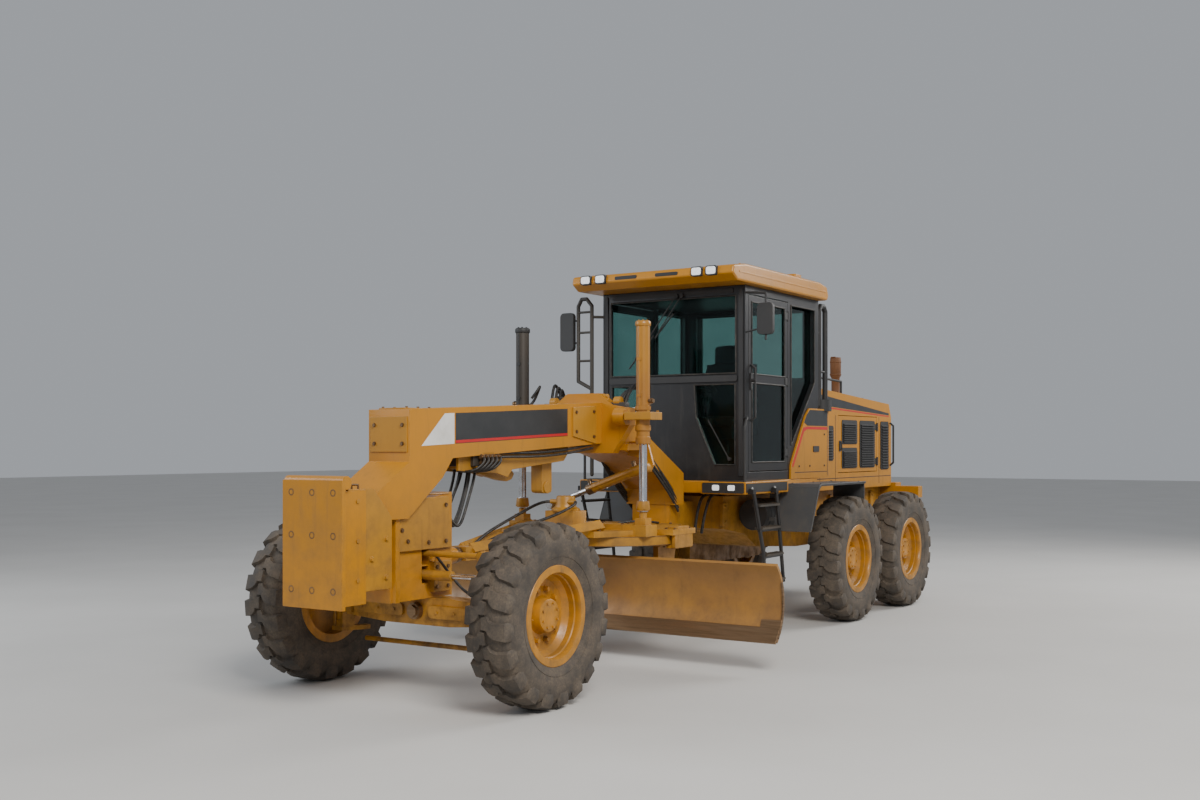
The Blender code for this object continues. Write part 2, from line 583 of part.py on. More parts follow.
def blade():
    inner = ARM_Y_RANGE[0] - GAP
    pieces = [rod((TILT_X, -inner, TILT_Z), (TILT_X, inner, TILT_Z), 0.042, 14)]
    for _, side in SIDES:
        low_y, high_y = sorted(side * value for value in CARRIER_Y)
        x_end = RAIL_X[0] - GAP
        side_plate = [(1.07, 0.40), (x_end, 0.35), (x_end, 0.74), (1.20, 0.74)]
        pieces.append(plate(side_plate, low_y, high_y, "Y"))
        for low_z, high_z in RAIL_ZS:
            lip_y = (low_y - 0.003, high_y + 0.003)
            pieces.append(box((1.22, RAIL_X[1] - 0.004), lip_y, (high_z + GAP, high_z + 0.025)))
            pieces.append(box((1.22, RAIL_X[1] - 0.004), lip_y, (low_z - 0.022, low_z - GAP)))
    pieces.append(box((1.23, RAIL_X[0] - 0.001), (-0.46, 0.46), (0.50, 0.58)))
    set_origin(finish("blade_carrier", join(pieces), YELLOW_WORN), (TILT_X, 0, TILT_Z))

    half, radius = BLADE_LENGTH / 2, BLADE_CURVE_R
    chord = BLADE_HEIGHT - 0.025
    low_z = BLADE_LOW_Z + 0.025
    mid_z = low_z + chord / 2
    centre_x = BLADE_FACE_X + math.sqrt(radius ** 2 - (chord / 2) ** 2)
    reach = math.asin(chord / 2 / radius)
    angles = [-reach + 2 * reach * step / 10 for step in range(11)]
    front = [(centre_x - radius * math.cos(a), mid_z + radius * math.sin(a)) for a in angles]
    outer = radius + BLADE_THICKNESS
    back = [(centre_x - outer * math.cos(a), mid_z + outer * math.sin(a)) for a in reversed(angles)]
    pieces = [plate(front + back, -half, half, "Y")]
    for low_rail, high_rail in RAIL_ZS:
        pieces.append(box(RAIL_X, (-RAIL_HALF, RAIL_HALF), (low_rail, high_rail)))
        for y in (-1.44, -0.72, 0.0, 0.72, 1.44):
            middle = (low_rail + high_rail) / 2
            back_x = centre_x - math.sqrt((radius + 0.004) ** 2 - (abs(middle - mid_z) - 0.025) ** 2)
            pieces.append(box((RAIL_X[1] - 0.006, back_x), (y - 0.03, y + 0.03), (middle - 0.025, middle + 0.025)))
    body = join(pieces)
    finish("moldboard", body, YELLOW_WORN)

    foot, head = front[0], front[2]
    slope = Vector((head[0] - foot[0], head[1] - foot[1])).normalized()
    normal = Vector((slope.y, -slope.x))
    seat = Vector(foot) + normal * 3 * GAP
    tip = seat - slope * 0.030
    far = seat + slope * 0.110
    outline = [tuple(tip), tuple(tip + normal * 0.018), tuple(far + normal * 0.014), tuple(far)]
    finish("cutting_edge", plate(outline, -half - 0.004, half + 0.004, "Y"), STEEL)


def lift_cylinders():
    for hand, side in SIDES:
        y = side * LIFT_Y
        ring = box((LIFT_X - 0.095, LIFT_X + 0.095), (y - 0.128, y + 0.128), (TRUNNION_Z - 0.032, TRUNNION_Z + 0.032))
        hole = box((LIFT_X - 0.074, LIFT_X + 0.074), (y - 0.104, y + 0.104), (1.9, 2.2))
        ring = cut_out(ring, [hole])
        arm_end = side * (SADDLE_ARM_Y + GAP)
        ring = join([ring, rod((LIFT_X, arm_end, TRUNNION_Z), (LIFT_X, side * (LIFT_Y - 0.115), TRUNNION_Z), 0.030)])
        set_origin(finish(f"lift_yoke_{hand}", ring, YELLOW), (LIFT_X, y, TRUNNION_Z))

        r, low, high = LIFT_BARREL_R, 1.93, LIFT_TOP_Z
        bore = LIFT_ROD_R + 0.0008
        profile = [(0.0, high), (r - 0.012, high), (r, high - 0.03), (r, low), (bore, low), (bore, high - 0.05),
                   (0.0, high - 0.05)]
        barrel = turned(profile, "Z", (LIFT_X, y, 0), 16)
        for end in (-1, 1):
            barrel = join([barrel, rod((LIFT_X + end * 0.050, y, TRUNNION_Z), (LIFT_X + end * 0.0736, y, TRUNNION_Z), 0.020)])
        set_origin(finish(f"lift_barrel_{hand}", barrel, YELLOW, smooth=True), (LIFT_X, y, TRUNNION_Z))

        foot = LIFT_BALL_Z + 0.004
        piston = join([rod((LIFT_X, y, foot + 0.03), (LIFT_X, y, 2.56), LIFT_ROD_R, 16),
                       rod((LIFT_X, y, foot), (LIFT_X, y, foot + 0.09), 0.046, 14)])
        finish(f"lift_rod_{hand}", piston, YELLOW_WORN, smooth=True)


def shift_cylinder():
    eye, far = Vector(SHIFT_EYE), Vector(SHIFT_BALL)
    along = (far - eye).normalized()
    barrel = join([rod((SHIFT_X - 0.035, eye.y, eye.z), (SHIFT_X + 0.035, eye.y, eye.z), 0.048, 14),
                   rod(eye + along * 0.040, eye + along * 0.62, 0.044, 14)])
    barrel = cut_out(barrel, [rod(eye + along * 0.07, eye + along * 0.70, 0.0262, 16)])
    set_origin(finish("shift_barrel", barrel, YELLOW), SHIFT_EYE)
    piston = join([rod(eye + along * 0.55, far - along * 0.01, 0.0255, 16),
                   rod((SHIFT_X - 0.03, far.y, far.z), (SHIFT_X + 0.03, far.y, far.z), 0.035, 14)])
    finish("shift_rod", piston, CHROME)

# ---------------------------------------------------------------- rear frame and tandems

FRAME_HALF = 0.42
FRAME_TOP_Z = 1.30
CASE_Y = (0.70, 0.84)
DECK_LOW_Z = 1.34


def rear_frame():
    rear = -REAR_REACH + 0.18
    side_view = [(-0.35, FRAME_TOP_Z), (-0.35, 0.99), (-0.80, 0.92), (-1.05, 0.78), (-2.0, 0.72), (-3.3, 0.72),
                 (rear, 0.90), (rear, FRAME_TOP_Z)]
    pieces = [plate(side_view, -FRAME_HALF, FRAME_HALF, "Y")]
    low, high = LOW_LUG[1] + GAP, HIGH_LUG[0] - GAP
    pieces.append(box((-0.36, HITCH_X), (-0.10, 0.10), (low, high)))
    pieces.append(rod((HITCH_X, 0, low), (HITCH_X, 0, high), 0.1005, 16))
    pieces.append(rod((TANDEM_X, -CASE_Y[0] + GAP, 0.86), (TANDEM_X, CASE_Y[0] - GAP, 0.86), 0.15, 16))
    body = cut_out(join(pieces), [rod((HITCH_X, 0, 0.9), (HITCH_X, 0, 1.4), HITCH_BORE_R, 16)])
    finish("rear_frame", body, YELLOW)

    for hand, side in SIDES:
        y0, y1 = CASE_Y
        reach = TANDEM_SPACING / 2
        outline = [(TANDEM_X - reach - 0.16, 0.56), (TANDEM_X - reach - 0.10, 0.48), (TANDEM_X + reach + 0.10, 0.48),
                   (TANDEM_X + reach + 0.16, 0.56), (TANDEM_X + reach + 0.16, 0.72), (TANDEM_X + 0.28, 1.02),
                   (TANDEM_X - 0.28, 1.02), (TANDEM_X - reach - 0.16, 0.72)]
        pieces = [plate(outline, y0, y1, "Y")]
        for x in REAR_WHEEL_XS:
            pieces.append(rod((x, y1 - 0.02, AXLE_Z), (x, TRACK_HALF - GAP, AXLE_Z), SPINDLE_R, WHEEL_SIDES))
        body = join(pieces)
        if side < 0:
            whole = body
            body = mirrored(whole)
            bpy.data.objects.remove(whole, do_unlink=True)
        finish(f"tandem_case_{hand}", body, YELLOW)


def platform():
    front = 0.13
    deck = [(-1.70, -0.795), (-1.70, 0.795), (-0.78, 0.795), (-0.78, 0.90), (front, 0.90), (front, 0.44),
            (-0.06, 0.44), (-0.06, -0.44), (front, -0.44), (front, -0.90), (-0.78, -0.90), (-0.78, -0.795)]
    pieces = [plate(deck, DECK_LOW_Z, DECK_TOP_Z, "Z")]
    for x in (-1.60, -1.05, -0.50):
        pieces.append(box((x - 0.05, x + 0.05), (-0.40, 0.40), (FRAME_TOP_Z + GAP, DECK_LOW_Z + 0.01)))
    finish("platform", join(pieces), YELLOW)

    for hand, side in SIDES:
        y = side * 0.94
        top = DECK_LOW_Z + 0.06
        rails = [tube([(0.06, side * 0.918, top), (0.05, y, top - 0.04), (-0.155, y, 0.80), (-0.19, y, 0.50)], 0.0175),
                 tube([(-0.41, side * 0.918, top), (-0.42, y, top - 0.04), (-0.53, y, 0.80), (-0.58, y, 0.50)], 0.0175)]
        steps = []
        for front_x, rear_x, z in ((-0.188, -0.577, 0.52), (-0.160, -0.537, 0.76), (-0.065, -0.487, 1.01)):
            steps.append(box((rear_x - 0.005, front_x + 0.005), sorted((y - 0.013, y + 0.013)), (z - 0.014, z + 0.014)))
        feet = [box((x - 0.03, x + 0.03), sorted((side * (0.90 + GAP), side * 0.955)), (DECK_LOW_Z + 0.005, DECK_LOW_Z + 0.05))
                for x in (0.055, -0.415)]
        body = join([rails[0], steps[0], rails[1]] + steps[1:] + feet)
        finish(f"ladder_{hand}", body, BLACK)

        arch = [(-0.64, 0.97), (-0.84, 1.385), (-0.90, 1.415), (-2.02, 1.415), (-2.02, 1.395), (-0.91, 1.395),
                (-0.86, 1.37), (-0.665, 0.97)]
        low_y, high_y = sorted((side * (0.795 + 2 * GAP), side * 1.19))
        finish(f"fender_{hand}", plate(arch, low_y, high_y, "Y"), DARK_GREY)


def rear_body():
    front, rear, half = HOOD_FRONT_X, HOOD_REAR_X, HOOD_HALF_WIDTH
    base = FRAME_TOP_Z + GAP
    outline = [(front, base), (rear, base), (rear, HOOD_REAR_TOP_Z - 0.16), (rear + 0.08, HOOD_REAR_TOP_Z),
               (front, HOOD_FRONT_TOP_Z)]
    shell = plate(outline, -half, half, "Y")
    inner = [(front - 0.04, base - 0.1), (rear + 0.04, base - 0.1), (rear + 0.04, HOOD_REAR_TOP_Z - 0.19),
             (rear + 0.10, HOOD_REAR_TOP_Z - 0.045), (front - 0.04, HOOD_FRONT_TOP_Z - 0.045)]
    cavity = plate(inner, -half + 0.03, half - 0.03, "Y")
    openings = box(DOOR_X, (-1, 1), DOOR_Z)
    shell = cut_out(shell, [cavity, openings])
    pad = box((STACK_X - 0.12, STACK_X + 0.12), (-0.12, 0.12), (2.26, STACK_FOOT_Z))
    tank = box((front - 0.06, CAB_REAR_X - 0.005), (-CAB_HALF_WIDTH - 0.018, CAB_HALF_WIDTH + 0.018),
               (DECK_TOP_Z + GAP, SIDE_COVER_TOP_Z - 0.002))
    pieces = [shell, pad, tank]
    for _, side in SIDES:
        cover = [(-1.05, DECK_TOP_Z + GAP), (-1.06, 1.60), (-1.40, 2.08), (-1.50, SIDE_COVER_TOP_Z),
                 (front - 0.03, SIDE_COVER_TOP_Z), (front - 0.03, DECK_TOP_Z + GAP)]
        low_y, high_y = sorted((side * (CAB_HALF_WIDTH + GAP), side * (CAB_HALF_WIDTH + 0.020)))
        pieces.append(plate(cover, low_y, high_y, "Y"))
    finish("hood", join(pieces), YELLOW)

    stack = join([rod((STACK_X, 0, STACK_FOOT_Z + GAP), (STACK_X, 0, 2.60), 0.045, 14),
                  rod((STACK_X, 0, 2.58), (STACK_X, 0, 2.84), 0.062, 14)])
    finish("exhaust_stack", stack, RUST, smooth=True)

    engine = join([box((-3.75, -2.75), (-0.26, 0.26), (base, 2.02)), box((-3.55, -2.90), (-0.40, 0.40), (1.40, 1.75)),
                   box((-4.20, -4.05), (-0.45, 0.45), (base, 2.05)), box((-4.10, -3.70), (-0.10, 0.10), (1.50, 1.70))])
    finish("engine_block", engine, DARK_GREY)

    for hand, side in SIDES:
        low_y, high_y = sorted((side * (half - 0.028), side * (half - 0.002)))
        x_range = (DOOR_X[0] + GAP, DOOR_X[1] - 0.006)
        door = box(x_range, (low_y, high_y), (DOOR_Z[0] + 0.006, DOOR_Z[1] - 0.006))
        set_origin(finish(f"engine_door_{hand}", door, YELLOW), (DOOR_X[0] + GAP, side * half, DOOR_Z[0]))

    bumper_front = -REAR_REACH + 0.18 - GAP
    bumper = join([box((-REAR_REACH, bumper_front), (-0.62, 0.62), (0.86, 1.34)),
                   box((-REAR_REACH + 0.04, bumper_front), (-0.90, 0.90), (1.16, 1.30))])
    finish("rear_bumper", bumper, YELLOW)


# ---------------------------------------------------------------- cab

WALL = 0.05
DOOR_X = (-3.95, -2.80)
DOOR_Z = (1.48, 2.12)
STACK_X = -4.05
SIDE_COVER_TOP_Z = 2.16
STACK_FOOT_Z = 2.36
CAB_DOOR_X = (-1.02, -0.17)
CAB_DOOR_Z = (1.54, 3.19)
SILL_Z = 2.42


def cab():
    front, rear, half = CAB_FRONT_X, CAB_REAR_X, CAB_HALF_WIDTH
    base = DECK_TOP_Z + GAP
    shell = box((rear, front), (-half, half), (base, CAB_TOP_Z))
    cutters = [box((rear + WALL, front - WALL), (-half + WALL, half - WALL), (base + 0.045, CAB_TOP_Z - WALL)),
               box((front - 0.2, front + 0.2), (-0.69, 0.69), (SILL_Z + 0.03, CAB_TOP_Z - 0.09)),
               box(CAB_DOOR_X, (-1, 1), CAB_DOOR_Z),
               box((rear - 0.2, rear + 0.2), (-0.62, 0.62), (2.47, CAB_TOP_Z - 0.10))]
    for _, side in SIDES:
        window = [(side * 0.68, 1.60), (side * 0.68, 2.36), (side * 0.24, 2.36), (side * 0.26, 2.05),
                  (side * 0.46, 1.60)]
        cutters.append(plate(window, front - 0.2, front + 0.2, "X"))
    quarter = [(-1.09, 3.17), (-1.09, 1.78), (-1.30, 2.02), (-1.55, 2.30), (-1.66, 2.42), (-1.66, 3.17)]
    cutters.append(plate(quarter, -1, 1, "Y"))
    finish("cab_frame", cut_out(shell, cutters), BLACK)

    pane_x = front - WALL - GAP
    finish("windscreen", box((pane_x - 0.006, pane_x), (-half + WALL + GAP, half - WALL - GAP), (1.52, 3.21)), GLASS)
    liner = box((rear + WALL + GAP, -1.05), (-half + WALL + GAP, half - WALL - GAP), (1.52, 3.21))
    inside = box((rear + WALL + 0.0065, -1.0), (-half + WALL + 0.0065, half - WALL - 0.0065), (1.4, 3.4))
    finish("rear_glazing", cut_out(liner, [inside]), GLASS)

    for hand, side in SIDES:
        x0, x1 = CAB_DOOR_X[0] + GAP, CAB_DOOR_X[1] - 0.006
        z0, z1 = CAB_DOOR_Z[0] + 0.006, CAB_DOOR_Z[1] - 0.006
        outer, inner = half - 0.001, half - 0.036
        door = box((x0, x1), sorted((side * outer, side * inner)), (z0, z1))
        holes = [box((x0 + 0.07, x1 - 0.06), (-1, 1), (SILL_Z + 0.03, z1 - 0.06)),
                 box((x0 + 0.07, x1 - 0.06), (-1, 1), (z0 + 0.08, SILL_Z - 0.05))]
        hinge = (x0, side * half, z0)
        set_origin(finish(f"cab_door_{hand}", cut_out(door, holes), BLACK), hinge)

    floor = base + 0.045 + GAP
    seat = join([box((-1.30, -0.85), (-0.25, 0.25), (1.85, 2.02)), box((-1.42, -1.26), (-0.25, 0.25), (1.90, 2.62)),
                 box((-1.20, -0.95), (-0.17, 0.17), (floor, 1.88)), box((-1.37, -1.28), (-0.15, 0.15), (2.58, 2.80))])
    finish("driver_seat", seat, SEAT_GREY)
    column = join([rod((-0.36, 0, floor + 0.08), (-0.55, 0, 2.28), 0.07, 12), box((-0.48, -0.24), (-0.20, 0.20), (floor, 1.66))])
    wheel = turned([(0.20, 0.012), (0.20, -0.012), (0.172, -0.012), (0.172, 0.012)], "Z", (0, 0, 0), 16)
    wheel.data.transform(Matrix.Translation((-0.565, 0, 2.34)) @ Matrix.Rotation(math.radians(-20), 4, "Y"))
    spoke = rod((-0.565 - 0.17, 0, 2.34 - 0.062), (-0.565 + 0.17, 0, 2.34 + 0.062), 0.012, 8)
    neck = rod((-0.548, 0, 2.22), (-0.566, 0, 2.345), 0.03, 12)
    finish("control_console", join([column, neck, spoke, wheel]), BLACK)

    roof = [(0.32, CAB_TOP_Z + 0.06), (0.22, CAB_TOP_Z + GAP), (-1.79, CAB_TOP_Z + GAP), (-1.82, CAB_TOP_Z + 0.05),
            (-1.78, ROOF_TOP_Z - 0.03), (-1.6, ROOF_TOP_Z), (0.05, ROOF_TOP_Z), (0.30, ROOF_TOP_Z - 0.035)]
    finish("cab_roof", plate(roof, -0.87, 0.87, "Y"), YELLOW)


# ---------------------------------------------------------------- the machine

clear_scene()
MACHINE = new_collection("motor_grader")
wheels()
front_running_gear()
front_frame()
push_plate()
drawbar_group()
circle()
blade()
lift_cylinders()
shift_cylinder()
rear_frame()
platform()
rear_body()
cab()
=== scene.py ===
"""Looks of the motor grader: rounded panels, tyres, cab trim, hoses, decals and materials.

Everything is in metres in the machine's frame: +X forward, +Y left, +Z up.
"""

import json
import math
import random

import bmesh
import bpy
from mathutils import Matrix, Vector


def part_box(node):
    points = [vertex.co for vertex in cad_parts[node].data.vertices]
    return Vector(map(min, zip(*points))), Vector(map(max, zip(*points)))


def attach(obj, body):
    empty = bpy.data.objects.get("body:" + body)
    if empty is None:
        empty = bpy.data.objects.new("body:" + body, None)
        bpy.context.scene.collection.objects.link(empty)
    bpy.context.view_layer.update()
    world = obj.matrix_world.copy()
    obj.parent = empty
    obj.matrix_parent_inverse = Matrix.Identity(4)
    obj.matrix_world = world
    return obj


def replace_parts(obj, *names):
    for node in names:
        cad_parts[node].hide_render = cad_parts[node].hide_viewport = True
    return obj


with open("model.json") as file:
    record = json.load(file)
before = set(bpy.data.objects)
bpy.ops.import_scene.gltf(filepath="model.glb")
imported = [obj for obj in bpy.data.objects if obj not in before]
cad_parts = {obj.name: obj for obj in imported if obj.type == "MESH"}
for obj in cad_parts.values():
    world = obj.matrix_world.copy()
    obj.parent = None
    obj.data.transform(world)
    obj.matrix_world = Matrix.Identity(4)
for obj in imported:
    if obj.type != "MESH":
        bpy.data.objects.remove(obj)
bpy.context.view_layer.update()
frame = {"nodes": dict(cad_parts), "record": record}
SIDES = (("left", 1), ("right", -1))

# ---------------------------------------------------------------- camera

CAMERA_PLACE = Vector((10.74, 6.25, 1.79))
CAMERA_LOOK = Vector((-0.8377, -0.5461, 0.0))
CAMERA_LENS = 39.3
CAMERA_SHIFT_Y = 0.0375


def camera():
    data = bpy.data.cameras.new("camera")
    data.lens = CAMERA_LENS
    data.sensor_width = 36.0
    data.shift_y = CAMERA_SHIFT_Y
    data.clip_end = 200.0
    item = bpy.data.objects.new("camera", data)
    item.location = CAMERA_PLACE
    item.rotation_euler = CAMERA_LOOK.to_track_quat("-Z", "Y").to_euler()
    bpy.context.scene.collection.objects.link(item)
    bpy.context.scene.camera = item


# ---------------------------------------------------------------- materials


class Paint:
    """A small builder for node materials in object space."""

    def __init__(self, name, roughness=0.5, metallic=0.0):
        self.material = bpy.data.materials.new(name)
        self.material.use_nodes = True
        self.tree = self.material.node_tree
        self.shader = self.tree.nodes["Principled BSDF"]
        self.shader.inputs["Roughness"].default_value = roughness
        self.shader.inputs["Metallic"].default_value = metallic
        self.place = self.tree.nodes.new("ShaderNodeTexCoord").outputs["Object"]

    def link(self, output, target):
        self.tree.links.new(output, target)

    def noise(self, scale, detail=4.0, rough=0.55, stretch=None):
        node = self.tree.nodes.new("ShaderNodeTexNoise")
        node.inputs["Scale"].default_value = scale
        node.inputs["Detail"].default_value = detail
        node.inputs["Roughness"].default_value = rough
        source = self.place
        if stretch:
            mapping = self.tree.nodes.new("ShaderNodeMapping")
            mapping.inputs["Scale"].default_value = stretch
            self.link(source, mapping.inputs["Vector"])
            source = mapping.outputs["Vector"]
        self.link(source, node.inputs["Vector"])
        return node.outputs["Fac"]

    def ramp(self, factor, low, high, start=0.0, end=1.0):
        node = self.tree.nodes.new("ShaderNodeMapRange")
        node.inputs["From Min"].default_value = low
        node.inputs["From Max"].default_value = high
        node.inputs["To Min"].default_value = start
        node.inputs["To Max"].default_value = end
        self.link(factor, node.inputs["Value"])
        return node.outputs["Result"]

    def height(self, low, high):
        """1 at the low height and 0 at the high one."""
        split = self.tree.nodes.new("ShaderNodeSeparateXYZ")
        self.link(self.place, split.inputs["Vector"])
        return self.ramp(split.outputs["Z"], low, high, 1.0, 0.0)

    def times(self, first, second, operation="MULTIPLY"):
        node = self.tree.nodes.new("ShaderNodeMath")
        node.operation = operation
        node.use_clamp = True
        for value, socket in ((first, node.inputs[0]), (second, node.inputs[1])):
            if isinstance(value, (int, float)):
                socket.default_value = value
            else:
                self.link(value, socket)
        return node.outputs["Value"]

    def mix(self, factor, first, second):
        node = self.tree.nodes.new("ShaderNodeMix")
        node.data_type = "RGBA"
        self.link(factor, node.inputs["Factor"])
        for value, socket in ((first, node.inputs["A"]), (second, node.inputs["B"])):
            if isinstance(value, tuple):
                socket.default_value = (*value, 1.0)
            else:
                self.link(value, socket)
        return node.outputs["Result"]

    def edges(self, radius=0.006):
        """Near 1 on worn convex edges: where a bevelled normal leaves the true one."""
        bevel = self.tree.nodes.new("ShaderNodeBevel")
        bevel.samples = 4
        bevel.inputs["Radius"].default_value = radius
        geometry = self.tree.nodes.new("ShaderNodeNewGeometry")
        dot = self.tree.nodes.new("ShaderNodeVectorMath")
        dot.operation = "DOT_PRODUCT"
        self.link(bevel.outputs["Normal"], dot.inputs[0])
        self.link(geometry.outputs["Normal"], dot.inputs[1])
        return self.ramp(dot.outputs["Value"], 0.97, 0.80)

    def colour(self, value):
        if isinstance(value, tuple):
            self.shader.inputs["Base Color"].default_value = (*value, 1.0)
        else:
            self.link(value, self.shader.inputs["Base Color"])

    def rough(self, value):
        self.link(value, self.shader.inputs["Roughness"])

    def bump(self, value, strength=0.2, distance=0.002):
        node = self.tree.nodes.new("ShaderNodeBump")
        node.inputs["Strength"].default_value = strength
        node.inputs["Distance"].default_value = distance
        self.link(value, node.inputs["Height"])
        self.link(node.outputs["Normal"], self.shader.inputs["Normal"])


def enamel(name, clean, faded, dirt, dirt_low, dirt_high, dirt_amount, wear=None, roughness=(0.28, 0.55)):
    """Sprayed machine paint: slight fading, dust low down and in patches, chipped edges."""
    paint = Paint(name)
    fade = paint.ramp(paint.noise(1.6, 5.0), 0.35, 0.70)
    base = paint.mix(fade, clean, faded)
    low = paint.height(dirt_low, dirt_high)
    patches = paint.ramp(paint.noise(7.0, 8.0, 0.65), 0.40, 0.72)
    grime = paint.times(paint.times(low, patches), dirt_amount)
    streaks = paint.ramp(paint.noise(3.0, 6.0, 0.6, (6.0, 6.0, 0.7)), 0.55, 0.80, 0.0, 0.35)
    grime = paint.times(grime, streaks, "ADD")
    colour = paint.mix(grime, base, dirt)
    if wear:
        chips = paint.ramp(paint.noise(38.0, 6.0, 0.7), 0.50, 0.62)
        colour = paint.mix(paint.times(paint.edges(), chips), colour, wear)
    paint.colour(colour)
    paint.rough(paint.ramp(grime, 0.0, 0.6, *roughness))
    paint.bump(paint.noise(95.0, 3.0), 0.06, 0.001)
    return paint.material


def make_materials():
    found = {}
    dust = (0.150, 0.088, 0.030)
    found["yellow"] = enamel("yellow", (0.520, 0.215, 0.009), (0.450, 0.195, 0.012), dust, 0.2, 2.0, 0.75,
                             (0.10, 0.055, 0.025))
    found["yellow_low"] = enamel("yellow_low", (0.480, 0.225, 0.018), (0.380, 0.180, 0.022), (0.075, 0.040, 0.016),
                                 0.3, 1.9, 1.0, (0.06, 0.035, 0.02), (0.35, 0.68))
    found["blade"] = enamel("blade", (0.400, 0.200, 0.045), (0.300, 0.145, 0.040), (0.130, 0.075, 0.035),
                            0.15, 1.0, 0.9, (0.20, 0.15, 0.10), (0.30, 0.55))
    found["cylinder"] = enamel("cylinder", (0.430, 0.195, 0.022), (0.330, 0.140, 0.025), dust, 0.5, 2.5, 0.8,
                               (0.08, 0.05, 0.03), (0.30, 0.6))
    found["black"] = enamel("black", (0.013, 0.013, 0.014), (0.022, 0.022, 0.024), (0.070, 0.058, 0.045),
                            0.3, 2.3, 0.45, None, (0.30, 0.55))
    found["trim"] = enamel("trim", (0.020, 0.020, 0.021), (0.030, 0.030, 0.031), (0.060, 0.052, 0.042),
                           0.3, 2.4, 0.5, None, (0.55, 0.75))
    found["fender"] = enamel("fender", (0.045, 0.047, 0.050), (0.060, 0.061, 0.063), (0.110, 0.092, 0.070),
                             0.6, 1.6, 0.7, None, (0.55, 0.8))
    found["iron_and_shade"] = enamel("iron_and_shade", (0.035, 0.033, 0.030), (0.055, 0.045, 0.035), (0.100, 0.070, 0.040),
                           0.3, 2.0, 0.8, None, (0.5, 0.8))
    found["seat"] = enamel("seat", (0.030, 0.034, 0.038), (0.045, 0.049, 0.054), (0.08, 0.075, 0.07),
                           0.5, 2.0, 0.3, None, (0.8, 0.95))
    found["rust"] = enamel("rust", (0.230, 0.090, 0.022), (0.110, 0.048, 0.020), (0.050, 0.030, 0.020),
                           1.0, 3.5, 0.8, None, (0.6, 0.9))

    steel = Paint("steel", 0.34, 0.85)
    scrape = steel.ramp(steel.noise(9.0, 7.0, 0.6, (1.0, 0.25, 5.0)), 0.35, 0.70)
    steel.colour(steel.mix(scrape, (0.300, 0.195, 0.110), (0.155, 0.095, 0.050)))
    steel.rough(steel.ramp(scrape, 0.0, 1.0, 0.28, 0.55))
    steel.bump(steel.noise(60.0, 6.0, 0.6, (1.0, 0.3, 4.0)), 0.25, 0.002)
    found["steel"] = steel.material

    chrome = Paint("chrome", 0.14, 1.0)
    smear = chrome.noise(14.0, 5.0)
    chrome.colour(chrome.mix(chrome.ramp(smear, 0.4, 0.75), (0.72, 0.72, 0.74), (0.36, 0.32, 0.28)))
    chrome.rough(chrome.ramp(smear, 0.3, 0.8, 0.10, 0.38))
    found["chrome"] = chrome.material

    rubber = Paint("rubber", 0.85)
    dusty = rubber.ramp(rubber.noise(6.0, 9.0, 0.7), 0.38, 0.68)
    fine = rubber.ramp(rubber.noise(70.0, 5.0, 0.6), 0.35, 0.70)
    tone = rubber.mix(dusty, (0.052, 0.043, 0.035), (0.165, 0.128, 0.092))
    rubber.colour(rubber.mix(rubber.times(fine, 0.5), tone, (0.033, 0.030, 0.028)))
    rubber.rough(rubber.ramp(dusty, 0.0, 1.0, 0.68, 0.95))
    rubber.bump(rubber.noise(120.0, 6.0, 0.65), 0.35, 0.002)
    found["rubber"] = rubber.material

    hose = Paint("hose", 0.5)
    hose.colour(hose.mix(hose.ramp(hose.noise(30.0, 5.0), 0.4, 0.7), (0.012, 0.012, 0.012), (0.050, 0.042, 0.034)))
    hose.bump(hose.noise(260.0, 2.0), 0.3, 0.001)
    found["hose"] = hose.material

    glass = Paint("glass", 0.03)
    glass.colour(glass.mix(glass.ramp(glass.noise(2.2, 3.0), 0.35, 0.75), (0.36, 0.56, 0.53), (0.30, 0.48, 0.46)))
    glass.shader.inputs["Transmission Weight"].default_value = 1.0
    glass.shader.inputs["IOR"].default_value = 1.25
    glass.rough(glass.ramp(glass.noise(5.0, 7.0, 0.7), 0.5, 0.85, 0.02, 0.22))
    found["glass"] = glass.material

    lamp = Paint("lamp", 0.15)
    lamp.colour(lamp.mix(lamp.ramp(lamp.noise(90.0, 1.0), 0.45, 0.6), (0.86, 0.88, 0.90), (0.55, 0.58, 0.62)))
    lamp.shader.inputs["Emission Color"].default_value = (0.92, 0.95, 1.0, 1.0)
    lamp.shader.inputs["Emission Strength"].default_value = 0.55
    found["lamp"] = lamp.material

    for name, light, deep, rough in (("red", (0.55, 0.012, 0.012), (0.42, 0.015, 0.012), 0.35),
                                     ("white", (0.78, 0.77, 0.74), (0.62, 0.60, 0.56), 0.40),
                                     ("decal", (0.020, 0.022, 0.024), (0.035, 0.036, 0.037), 0.38),
                                     ("orange", (0.80, 0.22, 0.010), (0.60, 0.15, 0.010), 0.20)):
        paint = Paint(name, rough)
        paint.colour(paint.mix(paint.ramp(paint.noise(5.0, 7.0, 0.65), 0.40, 0.75), light, deep))
        found[name] = paint.material
    return found


LOOKS = make_materials()

# ---------------------------------------------------------------- mesh helpers


def link(item):
    bpy.context.scene.collection.objects.link(item)
    return item


def from_bmesh(name, bm):
    mesh = bpy.data.meshes.new(name)
    bm.normal_update()
    bm.to_mesh(mesh)
    bm.free()
    return link(bpy.data.objects.new(name, mesh))


